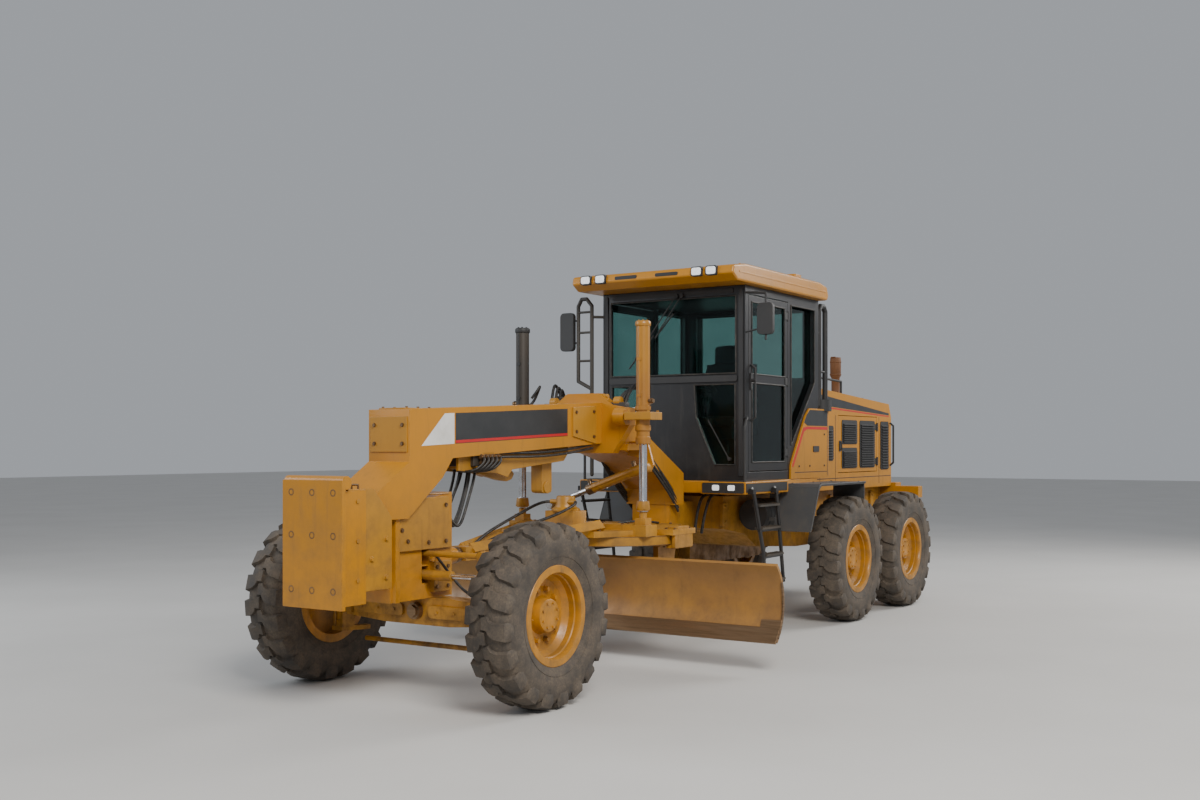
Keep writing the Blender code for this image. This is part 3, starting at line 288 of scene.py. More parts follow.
def dress(item, look, body, smooth=True, bevel=0.0):
    """Material, shading and body of a piece."""
    item.data.materials.clear()
    item.data.materials.append(LOOKS[look])
    if smooth and item.type == "MESH":
        item.data.shade_smooth()
        item.data.set_sharp_from_angle(angle=math.radians(38))
    if bevel:
        modifier = item.modifiers.new("edges", "BEVEL")
        modifier.width = bevel
        modifier.segments = 2
        modifier.limit_method = "ANGLE"
        modifier.angle_limit = math.radians(35)
        modifier.harden_normals = True
    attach(item, body)
    return item


def add_box(bm, x_range, y_range, z_range):
    made = bmesh.ops.create_cube(bm, size=1.0)["verts"]
    for values, axis in ((x_range, 0), (y_range, 1), (z_range, 2)):
        low, high = min(values), max(values)
        for vertex in made:
            vertex.co[axis] = high if vertex.co[axis] > 0 else low
    return made


def add_rod(bm, start, end, radius, sides=16, end_radius=None):
    start, end = Vector(start), Vector(end)
    made = bmesh.ops.create_cone(bm, cap_ends=True, segments=sides, radius1=radius,
                                 radius2=radius if end_radius is None else end_radius,
                                 depth=(end - start).length)["verts"]
    turn = (end - start).to_track_quat("Z", "Y").to_matrix().to_4x4()
    bmesh.ops.transform(bm, matrix=Matrix.Translation((start + end) / 2) @ turn, verts=made)
    return made


def add_prism(bm, outline, low, high, normal="Y"):
    """A flat outline made solid; points are (x, z) for Y, (x, y) for Z and (y, z) for X."""
    def place(point, level):
        u, v = point
        return {"Y": (u, level, v), "Z": (u, v, level), "X": (level, u, v)}[normal]
    near = [bm.verts.new(place(point, low)) for point in outline]
    far = [bm.verts.new(place(point, high)) for point in outline]
    faces = [bm.faces.new(near), bm.faces.new(list(reversed(far)))]
    count = len(outline)
    for i in range(count):
        j = (i + 1) % count
        faces.append(bm.faces.new((near[j], near[i], far[i], far[j])))
    bmesh.ops.recalc_face_normals(bm, faces=faces)
    return near + far


def add_turned(bm, profile, axis="Y", centre=(0, 0, 0), sides=64):
    """A closed (radius, along) profile spun about an axis."""
    turns = {"Z": Matrix.Identity(4), "Y": Matrix.Rotation(math.radians(-90), 4, "X"),
             "X": Matrix.Rotation(math.radians(90), 4, "Y")}
    matrix = Matrix.Translation(centre) @ turns[axis]
    rings = []
    for radius, along in profile:
        if radius < 1e-6:
            rings.append([bm.verts.new(matrix @ Vector((0, 0, along)))] * sides)
            continue
        ring = []
        for step in range(sides):
            angle = 2 * math.pi * step / sides
            ring.append(bm.verts.new(matrix @ Vector((radius * math.cos(angle), radius * math.sin(angle), along))))
        rings.append(ring)
    faces = []
    for index, ring in enumerate(rings):
        after = rings[(index + 1) % len(rings)]
        if ring[0] is ring[1] and after[0] is after[1]:
            continue
        for step in range(sides):
            other = (step + 1) % sides
            corners = []
            for vertex in (ring[step], ring[other], after[other], after[step]):
                if vertex not in corners:
                    corners.append(vertex)
            if len(corners) > 2:
                faces.append(bm.faces.new(corners))
    bmesh.ops.recalc_face_normals(bm, faces=faces)


def add_nut(bm, centre, axis, radius=0.014, height=0.012):
    centre, axis = Vector(centre), Vector(axis).normalized()
    add_rod(bm, centre, centre + axis * height * 0.3, radius * 1.25, 16)
    add_rod(bm, centre + axis * height * 0.25, centre + axis * height, radius, 6)


def solid(name, fill, look, body, bevel=0.0, smooth=True):
    """A piece whose shape is made by fill(bm)."""
    bm = bmesh.new()
    fill(bm)
    return dress(from_bmesh(name, bm), look, body, smooth, bevel)


def hose(name, points, radius, body, look="hose", resolution=4):
    """A smooth flexible line through its points, closed at both ends."""
    curve = bpy.data.curves.new(name, "CURVE")
    curve.dimensions = "3D"
    curve.bevel_depth = radius
    curve.bevel_resolution = 3
    curve.resolution_u = resolution
    curve.use_fill_caps = True
    spline = curve.splines.new("NURBS")
    spline.points.add(len(points) - 1)
    for point, co in zip(spline.points, points):
        point.co = (*co, 1)
    spline.order_u = min(4, len(points))
    spline.use_endpoint_u = True
    item = link(bpy.data.objects.new(name, curve))
    item.data.materials.append(LOOKS[look])
    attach(item, body)
    return item


def rounded(node, look, width=0.005, segments=2):
    """A copy of a CAD node with real rounded edges, standing for that node."""
    source = frame["nodes"][node]
    bm = bmesh.new()
    bm.from_mesh(source.data)
    bmesh.ops.remove_doubles(bm, verts=bm.verts, dist=0.00005)
    bmesh.ops.dissolve_limit(bm, angle_limit=math.radians(0.6), verts=bm.verts, edges=bm.edges)
    item = from_bmesh(node + "_surface", bm)
    item.matrix_world = source.matrix_world
    body = next(name for name, nodes in frame["record"]["behaviour"]["bodies"].items() if node in nodes)
    dress(item, look, body, True, width)
    item.modifiers["edges"].segments = segments
    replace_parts(item, node)
    return item

# ---------------------------------------------------------------- wheels

TREAD_PITCHES = 20


def wheel_sizes():
    low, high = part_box("tyre_front_left")
    rim_low, rim_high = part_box("rim_front_left")
    return (high.x - low.x) / 2, (high.y - low.y) / 2, (rim_high.x - rim_low.x) / 2


def tyre_section(outer, half, bead):
    """The carcass: bead, bulged sidewall, shoulder and a crowned tread floor."""
    crown = outer - 0.024
    right = [(bead, 0.128), (bead + 0.030, 0.136), (bead + 0.075, half - 0.014), (bead + 0.130, half - 0.003),
             (crown - 0.125, half - 0.001), (crown - 0.070, half - 0.008), (crown - 0.030, half - 0.026),
             (crown - 0.008, half - 0.060), (crown, half - 0.120)]
    left = [(radius, -along) for radius, along in reversed(right)]
    inner = [(bead, -0.10), (bead, 0.10)]
    return right + [(crown + 0.002, 0.0)] + left + inner


def add_lug(bm, angle, side, outer, half):
    """One chevron bar from the tread's middle to its shoulder and down the sidewall."""
    stations = [(-0.010, -0.010, 0.090, 0.0), (0.030, -0.018, 0.098, 0.0), (0.046, 0.030, 0.100, 0.0),
                (0.080, 0.062, 0.108, 0.001), (0.112, 0.066, 0.116, 0.005), (half - 0.014, 0.074, 0.128, 0.022),
                (half, 0.080, 0.124, 0.058), (half - 0.002, 0.086, 0.096, 0.100)]
    rings = []
    for across, skew, width, drop in stations:
        top = outer - drop - (0.0 if drop < 0.05 else 0.004)
        depth = 0.034
        ring = []
        for turn, radius in ((-width / 2 - 0.006, top - depth), (-width / 2 + 0.006, top),
                             (width / 2 - 0.006, top), (width / 2 + 0.006, top - depth)):
            a = angle + skew + turn / outer
            y = across if drop < 0.05 else across + (0.0 if radius == top else -0.012)
            ring.append(bm.verts.new((radius * math.sin(a), side * y, radius * math.cos(a))))
        rings.append(ring)
    faces = [bm.faces.new(rings[0]), bm.faces.new(list(reversed(rings[-1])))]
    for near, far in zip(rings, rings[1:]):
        for i in range(4):
            j = (i + 1) % 4
            faces.append(bm.faces.new((near[j], near[i], far[i], far[j])))
    bmesh.ops.recalc_face_normals(bm, faces=faces)


def wheel_meshes():
    outer, half, flange = wheel_sizes()
    bead = 0.306
    bm = bmesh.new()
    add_turned(bm, tyre_section(outer, half, bead), "Y", (0, 0, 0), 72)
    for groove in (0.40, 0.435):
        for side in (-1, 1):
            along = side * (half - 0.010)
            section = [(groove, along - 0.006), (groove + 0.004, along + side * 0.004), (groove + 0.010, along - 0.006)]
            add_turned(bm, section, "Y", (0, 0, 0), 72)
    for step in range(TREAD_PITCHES):
        angle = 2 * math.pi * step / TREAD_PITCHES
        add_lug(bm, angle, 1, outer, half)
        add_lug(bm, angle + math.pi / TREAD_PITCHES, -1, outer, half)
    tyre = bpy.data.meshes.new("tyre")
    bm.to_mesh(tyre)
    bm.free()

    bm = bmesh.new()
    lip, edge, inner = 0.1303, 0.1453, 0.283
    profile = [(flange - 0.004, edge), (flange, edge - 0.004), (flange, lip + 0.003), (flange - 0.005, lip),
               (0.305, lip), (0.305, -lip), (flange - 0.005, -lip), (flange, -lip - 0.003), (flange, -edge + 0.004),
               (flange - 0.004, -edge), (inner, -edge), (inner, -0.030), (0.1003, -0.030), (0.1003, 0.0),
               (0.0, 0.0), (0.0, 0.088), (0.100, 0.088), (0.112, 0.082), (0.118, 0.070), (0.120, 0.030),
               (0.132, 0.010), (0.150, 0.004), (0.215, 0.004), (0.245, 0.012), (0.264, 0.036), (inner - 0.006, 0.052),
               (inner - 0.004, 0.092), (inner + 0.004, 0.100), (inner + 0.004, 0.128), (inner + 0.012, edge)]
    add_turned(bm, profile, "Y", (0, 0, 0), 64)
    for step in range(10):
        angle = 2 * math.pi * step / 10
        add_nut(bm, (0.180 * math.cos(angle), 0.002, 0.180 * math.sin(angle)), (0, 1, 0), 0.0165, 0.034)
    for step in range(8):
        angle = 2 * math.pi * (step + 0.5) / 8
        add_nut(bm, (0.088 * math.cos(angle), 0.087, 0.088 * math.sin(angle)), (0, 1, 0), 0.008, 0.010)
    add_rod(bm, (0.275, 0.070, 0.0), (0.262, 0.135, 0.0), 0.006, 10)
    rim = bpy.data.meshes.new("rim")
    bm.to_mesh(rim)
    bm.free()
    for mesh in (tyre, rim):
        mesh.shade_smooth()
        mesh.set_sharp_from_angle(angle=math.radians(34))
    tyre.materials.append(LOOKS["rubber"])
    rim.materials.append(LOOKS["yellow"])
    return tyre, rim


def wheels():
    tyre, rim = wheel_meshes()
    mirrored = {}
    for mesh in (tyre, rim):
        copy = mesh.copy()
        copy.transform(Matrix.Diagonal((1, -1, 1, 1)))
        copy.flip_normals()
        mirrored[mesh.name] = copy
    for label in ("front", "middle", "rear"):
        for hand, side in SIDES:
            for kind, mesh in (("tyre", tyre), ("rim", rim)):
                node = f"{kind}_{label}_{hand}"
                low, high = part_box(node)
                item = link(bpy.data.objects.new(node + "_look", mesh if side > 0 else mirrored[mesh.name]))
                item.location = (low + high) / 2
                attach(item, f"wheel_{label}_{hand}")
                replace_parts(item, node)


# ---------------------------------------------------------------- CAD nodes with rounded edges

SURFACES = {
    "yellow": ["push_plate", "hood", "cab_roof", "engine_door_left", "engine_door_right", "rear_bumper",
               "platform"],
    "yellow_low": ["front_axle", "rear_frame", "lean_bar", "tie_rod", "lean_ram_barrel", "lean_bracket_left",
                   "lean_bracket_right", "knuckle_left", "knuckle_right", "tandem_case_left", "tandem_case_right",
                   "drawbar", "circle", "blade_carrier", "lift_yoke_left", "lift_yoke_right", "shift_barrel"],
    "black": ["cab_frame", "cab_door_left", "cab_door_right", "ladder_left", "ladder_right"],
    "trim": ["control_console"],
    "fender": ["fender_left", "fender_right"],
    # lift_barrel_right takes this dark look while the left barrel is yellow: painted shade on the far lift barrel.
    "iron_and_shade": ["engine_block", "lift_barrel_right"],
    "blade": ["moldboard"],
    "cylinder": ["lift_barrel_left"],
    "seat": ["driver_seat"],
    "steel": ["cutting_edge", "drawbar_ball", "tie_rod_end"],
    "chrome": ["shift_rod", "lean_ram_rod", "lift_rod_left", "lift_rod_right"],
    "glass": ["windscreen", "rear_glazing"],
}
SOFT_EDGE = {"hood": 0.014, "cab_roof": 0.020, "push_plate": 0.006, "rear_bumper": 0.010, "cab_frame": 0.009,
             "platform": 0.008, "engine_block": 0.012}


def cad_surfaces():
    rounded("front_frame", "yellow", 0.007)
    for look, nodes in SURFACES.items():
        for node in nodes:
            if look in ("glass",) or node in ("drawbar_ball", "tie_rod_end"):
                item = frame["nodes"][node]
                item.data.materials.clear()
                item.data.materials.append(LOOKS[look])
                continue
            rounded(node, look, SOFT_EDGE.get(node, 0.004))


# ---------------------------------------------------------------- stage


def stage():
    bm = bmesh.new()
    bmesh.ops.create_grid(bm, x_segments=1, y_segments=1, size=60)
    floor = from_bmesh("floor", bm)
    pale = Paint("floor", 0.75)
    pale.colour(pale.mix(pale.ramp(pale.noise(0.6, 4.0), 0.3, 0.7), (0.60, 0.59, 0.57), (0.56, 0.55, 0.53)))
    floor.data.materials.append(pale.material)
    world = bpy.data.worlds.new("studio")
    world.use_nodes = True
    world.node_tree.nodes["Background"].inputs["Color"].default_value = (0.80, 0.84, 0.90, 1.0)
    world.node_tree.nodes["Background"].inputs["Strength"].default_value = 0.46
    bpy.context.scene.world = world
    lights = (("key", (9.0, 9.0, 9.5), (1.0, 0.2, 1.0), 1650.0, 5.0, (1.0, 0.96, 0.90)),
              ("fill", (7.5, -9.0, 6.0), (1.5, 0.0, 1.2), 480.0, 6.0, (0.90, 0.95, 1.0)),
              ("back", (-9.0, 6.0, 7.5), (-1.5, 0.0, 1.5), 800.0, 5.0, (1.0, 0.98, 0.95)))
    for name, place, aim, power, size, tint in lights:
        data = bpy.data.lights.new(name, "AREA")
        data.energy = power
        data.size = size
        data.color = tint
        lamp = link(bpy.data.objects.new(name, data))
        lamp.location = place
        lamp.rotation_euler = (Vector(aim) - Vector(place)).to_track_quat("-Z", "Y").to_euler()


# ---------------------------------------------------------------- cab

BASE = "rear_frame"


def add_loop(bm, points, radius, closed=True, sides=10):
    """Round bar through the points, with a ball at every corner."""
    pairs = list(zip(points, points[1:])) + ([(points[-1], points[0])] if closed else [])
    for start, end in pairs:
        add_rod(bm, start, end, radius, sides)
    for point in points:
        bmesh.ops.create_uvsphere(bm, u_segments=sides, v_segments=6, radius=radius,
                                  matrix=Matrix.Translation(point))


def add_pad(bm, x_range, y_range, z_range, radius, normal="X", steps=5):
    """A box whose outline, seen along its normal, has round corners."""
    spans = {"X": (y_range, z_range, x_range), "Y": (x_range, z_range, y_range), "Z": (x_range, y_range, z_range)}
    (u0, u1), (v0, v1), (low, high) = [sorted(span) for span in spans[normal]]
    outline = []
    for cu, cv, start in ((u1 - radius, v1 - radius, 0), (u0 + radius, v1 - radius, 90),
                          (u0 + radius, v0 + radius, 180), (u1 - radius, v0 + radius, 270)):
        for step in range(steps + 1):
            angle = math.radians(start + 90 * step / steps)
            outline.append((cu + radius * math.cos(angle), cv + radius * math.sin(angle)))
    return add_prism(bm, outline, low, high, normal)


def cab_glass():
    for hand, side in SIDES:
        body = f"cab_door_{hand}"
        for part, z_range in (("upper", (2.448, 3.126)), ("lower", (1.624, 2.372))):
            def pane(bm, side=side, z_range=z_range):
                add_pad(bm, (-0.952, -0.234), (side * 0.760, side * 0.766), z_range, 0.03, "Y")
            solid(f"{body}_{part}_pane", pane, "glass", body)

            def gasket(bm, side=side, z_range=z_range):
                corners = [(-0.948, side * 0.779, z_range[0] + 0.004), (-0.238, side * 0.779, z_range[0] + 0.004),
                           (-0.238, side * 0.779, z_range[1] - 0.004), (-0.948, side * 0.779, z_range[1] - 0.004)]
                add_loop(bm, corners, 0.008)
            solid(f"{body}_{part}_gasket", gasket, "hose", body)

        def fittings(bm, side=side):
            add_pad(bm, (-0.233, -0.200), (side * 0.778, side * 0.792), (2.30, 2.46), 0.012, "Y")
            add_loop(bm, [(-0.216, side * 0.790, 2.02), (-0.216, side * 0.826, 2.05), (-0.216, side * 0.826, 2.50),
                          (-0.216, side * 0.790, 2.53)], 0.011, closed=False)
            add_rod(bm, (-0.216, side * 0.785, 2.39), (-0.216, side * 0.835, 2.39), 0.016)
            for level in (1.72, 2.41, 3.05):
                add_rod(bm, (-1.0195, side * 0.780, level - 0.05), (-1.0195, side * 0.780, level + 0.05), 0.011)
                add_box(bm, (-1.012, -0.955), (side * 0.778, side * 0.785), (level - 0.035, level + 0.035))
        solid(f"{body}_fittings", fittings, "trim", body, bevel=0.002)

    def gaskets(bm):
        x = -0.0985
        add_loop(bm, [(x, -0.685, 2.455), (x, 0.685, 2.455), (x, 0.685, 3.175), (x, -0.685, 3.175)], 0.009)
        for _, side in SIDES:
            add_loop(bm, [(x, side * 0.676, 1.605), (x, side * 0.676, 2.355), (x, side * 0.245, 2.355),
                          (x, side * 0.264, 2.05), (x, side * 0.462, 1.605)], 0.008)
            quarter = [(-1.094, 3.165), (-1.094, 1.79), (-1.304, 2.025), (-1.552, 2.305), (-1.655, 2.425), (-1.655, 3.165)]
            add_loop(bm, [(u, side * 0.781, v) for u, v in quarter], 0.008)
        x = -1.762
        add_loop(bm, [(x, -0.615, 2.475), (x, 0.615, 2.475), (x, 0.615, 3.165), (x, -0.615, 3.165)], 0.009)
    solid("cab_gaskets", gaskets, "hose", BASE)

    def frame_posts(bm):
        for _, side in SIDES:
            add_pad(bm, (-0.104, -0.088), (side * 0.715, side * 0.760), (1.50, 3.24), 0.015, "X")
        add_pad(bm, (-0.104, -0.090), (-0.66, 0.66), (3.20, 3.245), 0.012, "X")
        add_pad(bm, (-0.104, -0.084), (-0.70, 0.70), (2.378, 2.438), 0.020, "X")
    solid("cab_posts", frame_posts, "trim", BASE, bevel=0.003)

    def wipers(bm):
        for pivot, tip, blade in (((0.06, 3.205), (-0.40, 2.62), 0.28), ((0.12, 3.205), (-0.13, 2.88), 0.20)):
            add_rod(bm, (-0.110, pivot[0], pivot[1]), (-0.072, pivot[0], pivot[1]), 0.020)
            add_rod(bm, (-0.076, pivot[0], pivot[1]), (-0.080, tip[0], tip[1]), 0.006, 8)
            across = Vector((tip[0] - pivot[0], tip[1] - pivot[1])).normalized()
            start = (-0.091, tip[0] - across.x * blade + 0.03, tip[1] - across.y * blade)
            end = (-0.091, tip[0] + across.x * blade * 0.4 + 0.0, tip[1] + across.y * blade * 0.4)
            add_rod(bm, start, end, 0.008, 8)
        for pivot, tip in (((-0.62, 1.66), (-0.40, 2.02)), ((0.62, 1.66), (0.40, 2.02))):
            add_rod(bm, (-0.110, *pivot), (-0.080, *pivot), 0.016)
            add_rod(bm, (-0.084, *pivot), (-0.088, *tip), 0.006, 8)
    solid("wipers", wipers, "trim", BASE)


def cab_roof_details():
    lamps = (-0.70, -0.535, 0.505, 0.655)

    def housings(bm):
        for y in lamps:
            add_pad(bm, (0.285, 0.335), (y - 0.058, y + 0.058), (3.318, 3.405), 0.020, "X")
        for y0, y1 in ((-0.38, -0.14), (0.06, 0.30)):
            add_pad(bm, (0.300, 0.318), (y0, y1), (3.345, 3.378), 0.012, "X")
        for y in (-0.62, 0.62):
            add_pad(bm, (-1.850, -1.800), (y - 0.055, y + 0.055), (3.325, 3.405), 0.018, "X")
    solid("roof_lamp_housings", housings, "trim", BASE, bevel=0.003)

    def lenses(bm):
        for y in lamps:
            add_pad(bm, (0.330, 0.343), (y - 0.047, y + 0.047), (3.328, 3.395), 0.018, "X")
        for y in (-0.62, 0.62):
            add_pad(bm, (-1.858, -1.846), (y - 0.045, y + 0.045), (3.334, 3.396), 0.015, "X")
    solid("roof_lamp_lenses", lenses, "lamp", BASE, bevel=0.004)

    def seams(bm):
        add_pad(bm, (-1.55, -0.05), (-0.70, 0.70), (3.436, 3.458), 0.06, "Z")
        for _, side in SIDES:
            add_box(bm, (-1.74, 0.20), (side * 0.868, side * 0.8735), (3.345, 3.360))
            for x in (-1.45, -0.70, 0.05):
                add_nut(bm, (x, side * 0.80, 3.432), (0, 0, 1), 0.011, 0.014)
            add_pad(bm, (-1.22, -1.06), (side * 0.72, side * 0.84), (3.436, 3.470), 0.02, "Z")
    solid("roof_seams", seams, "yellow", BASE, bevel=0.004)

    def aerial(bm):
        add_rod(bm, (-1.60, 0.55, 3.43), (-1.60, 0.55, 3.47), 0.022)
        add_rod(bm, (-1.60, 0.55, 3.46), (-1.60, 0.55, 3.54), 0.004, 8)
    solid("roof_aerial", aerial, "trim", BASE)


def mirrors():
    def left(bm):
        add_pad(bm, (-0.130, -0.085), (0.905, 1.065), (2.80, 3.09), 0.040, "X")
        add_loop(bm, [(-0.120, 0.760, 3.20), (-0.110, 0.985, 3.18), (-0.110, 0.985, 2.76)], 0.011, closed=False)
        add_rod(bm, (-0.120, 0.770, 2.83), (-0.112, 0.930, 2.86), 0.008)
    solid("mirror_left", left, "trim", BASE, bevel=0.006)

    def right(bm):
        add_pad(bm, (-0.030, 0.020), (-1.215, -1.055), (2.72, 3.10), 0.040, "X")
        add_rod(bm, (-0.01, -1.02, 2.80), (-0.01, -1.08, 2.80), 0.009)
        add_rod(bm, (-0.01, -1.02, 3.02), (-0.01, -1.08, 3.02), 0.009)
    solid("mirror_right", right, "trim", BASE, bevel=0.006)

    def tubes(bm):
        add_loop(bm, [(-0.02, -0.86, 1.50), (-0.02, -0.86, 3.16), (-0.02, -0.92, 3.23), (-0.02, -0.98, 3.23),
                      (-0.02, -1.02, 3.16), (-0.02, -1.02, 2.42), (-0.02, -0.86, 2.34)], 0.019, closed=False)
        for level in (2.62, 2.90, 3.10):
            add_rod(bm, (-0.02, -0.86, level), (-0.02, -1.02, level), 0.012)
        for level in (1.72, 3.05):
            add_rod(bm, (-0.02, -0.86, level), (-0.112, -0.765, level), 0.014)
    solid("mirror_right_frame", tubes, "iron_and_shade", BASE)

    def panes(bm):
        add_pad(bm, (-0.136, -0.128), (0.920, 1.050), (2.815, 3.075), 0.030, "X")
        add_pad(bm, (-0.036, -0.028), (-1.200, -1.070), (2.735, 3.085), 0.030, "X")
    solid("mirror_faces", panes, "chrome", BASE)

    def rails(bm):
        for _, side in SIDES:
            add_loop(bm, [(-1.86, side * 0.740, 2.20), (-1.86, side * 0.740, 3.18), (-1.90, side * 0.740, 3.23),
                          (-1.98, side * 0.740, 3.23), (-2.02, side * 0.740, 3.18), (-2.02, side * 0.740, 2.20)], 0.028,
                     closed=False, sides=14)
            add_rod(bm, (-1.86, side * 0.740, 2.95), (-1.75, side * 0.740, 2.95), 0.014)
            add_rod(bm, (-2.02, side * 0.740, 2.55), (-1.86, side * 0.740, 2.55), 0.014)
            add_rod(bm, (-1.94, side * 0.740, 2.14), (-1.94, side * 0.740, 2.26), 0.10, 20)
    solid("cab_rear_rails", rails, "trim", BASE)


def cab_inside():
    random.seed(5)

    def cushion(name, x_range, y_range, z_range):
        """A stuffed block: crowned faces, sides pulled in between soft corners."""
        bm = bmesh.new()
        bmesh.ops.create_cube(bm, size=2.0)
        bmesh.ops.subdivide_edges(bm, edges=bm.edges, cuts=11, use_grid_fill=True)
        for vertex in bm.verts:
            x, y, z = vertex.co
            reach = (abs(x) ** 7 + abs(y) ** 7 + abs(z) ** 7) ** (-1 / 7)
            crown = 1.0 + 0.05 * (1 - x * x) * (1 - y * y) + 0.05 * (1 - z * z) * (1 - y * y)
            for axis, (low, high) in enumerate((x_range, y_range, z_range)):
                middle, half = (low + high) / 2, abs(high - low) / 2
                vertex.co[axis] = middle + half * min(1.06, (x, y, z)[axis] * reach * crown)
        item = dress(from_bmesh(name, bm), "seat", BASE)
        item.data.shade_smooth()

    cushion("seat_base_cushion", (-1.30, -0.83), (-0.26, 0.26), (1.965, 2.075))
    cushion("seat_back_cushion", (-1.300, -1.205), (-0.245, 0.245), (2.06, 2.62))
    cushion("seat_headrest", (-1.390, -1.260), (-0.165, 0.165), (2.60, 2.81))

    def seams(bm):
        for y in (-0.13, 0.13):
            add_rod(bm, (-1.27, y, 2.0765), (-0.86, y, 2.0765), 0.003, 6)
            add_rod(bm, (-1.214, y, 2.10), (-1.214, y, 2.58), 0.003, 6)
    solid("seat_seams", seams, "trim", BASE)

    def steering(bm):
        ring = [(0.200 + 0.016 * math.cos(a), 0.016 * math.sin(a)) for a in
                [2 * math.pi * k / 10 for k in range(10)]]
        before = set(bm.verts)
        add_turned(bm, ring, "Z", (0, 0, 0), 40)
        for step in range(3):
            angle = 2 * math.pi * step / 3
            add_rod(bm, (0, 0, -0.01), (0.195 * math.cos(angle), 0.195 * math.sin(angle), 0.0), 0.011, 8)
        add_rod(bm, (0, 0, -0.03), (0, 0, 0.02), 0.045, 20)
        made = [v for v in bm.verts if v not in before]
        turn = Matrix.Translation((-0.565, 0, 2.352)) @ Matrix.Rotation(math.radians(-20), 4, "Y")
        bmesh.ops.transform(bm, matrix=turn, verts=made)
    solid("steering_wheel", steering, "trim", BASE)

    def levers(bm):
        for side in (-1, 1):
            for index in range(4):
                y = side * (0.10 + 0.035 * index)
                lean = random.uniform(-0.02, 0.02)
                add_rod(bm, (-0.40, y, 2.02), (-0.53 + lean, y, 2.30), 0.006, 8)
                bmesh.ops.create_uvsphere(bm, u_segments=10, v_segments=8, radius=0.015,
                                          matrix=Matrix.Translation((-0.53 + lean, y, 2.305)))
            add_box(bm, (-0.47, -0.33), (side * 0.07, side * 0.24), (1.98, 2.05))
        add_pad(bm, (-0.30, -0.22), (-0.17, 0.17), (2.28, 2.42), 0.03, "X")
        add_rod(bm, (-0.40, 0, 1.6), (-0.30, 0, 2.32), 0.03, 12)
    solid("levers", levers, "trim", BASE, bevel=0.003)
    for side in (-1, 1):
        def armrest(bm, side=side):
            add_pad(bm, (-1.22, -0.92), (side * 0.30, side * 0.36), (2.20, 2.26), 0.02, "Y")
            add_box(bm, (-1.18, -1.12), (side * 0.25, side * 0.34), (2.03, 2.21))
        solid(f"armrest_{'left' if side > 0 else 'right'}", armrest, "trim", BASE, bevel=0.01)


# ---------------------------------------------------------------- front frame dressing

FRONT = "front_frame"


def beam_top(x):
    return 2.04 + (3.86 - x) * 0.0445


def beam_decals():
    def strip(x0, x1, low, high, side, count=2):
        """Part of the beam's side between two depths below its top edge."""
        xs = [x0 + (x1 - x0) * k / count for k in range(count + 1)]
        lower = [(x, beam_top(x) - low) for x in xs]
        upper = [(x, beam_top(x) - high) for x in reversed(xs)]
        return lower + upper
    for hand, side in SIDES:
        near, far = sorted((side * 0.1895, side * 0.1915))
        solid(f"band_{hand}", lambda bm: add_prism(bm, strip(3.36, 1.93, 0.262, 0.040, side), near, far, "Y"),
              "decal", FRONT)
        white = [(3.735, beam_top(3.735) - 0.262), (3.375, beam_top(3.375) - 0.262), (3.375, beam_top(3.375) - 0.040),
                 (3.480, beam_top(3.480) - 0.040)]
        solid(f"wedge_{hand}", lambda bm: add_prism(bm, white, near, far, "Y"), "white", FRONT)
        low, high = sorted((side * 0.1905, side * 0.1925))
        solid(f"stripe_{hand}", lambda bm: add_prism(bm, strip(3.36, 1.93, 0.258, 0.238, side), low, high, "Y"),
              "red", FRONT)
        for index, (u0, u1, v0, v1) in enumerate(((1.70, 1.64, 0.12, 0.06), (0.92, 0.86, 0.10, 0.05))):
            solid(f"label_{index}_{hand}", lambda bm: add_prism(bm, strip(u0, u1, v0, v1, side, 1), low, high, "Y"),
                  "white", FRONT)


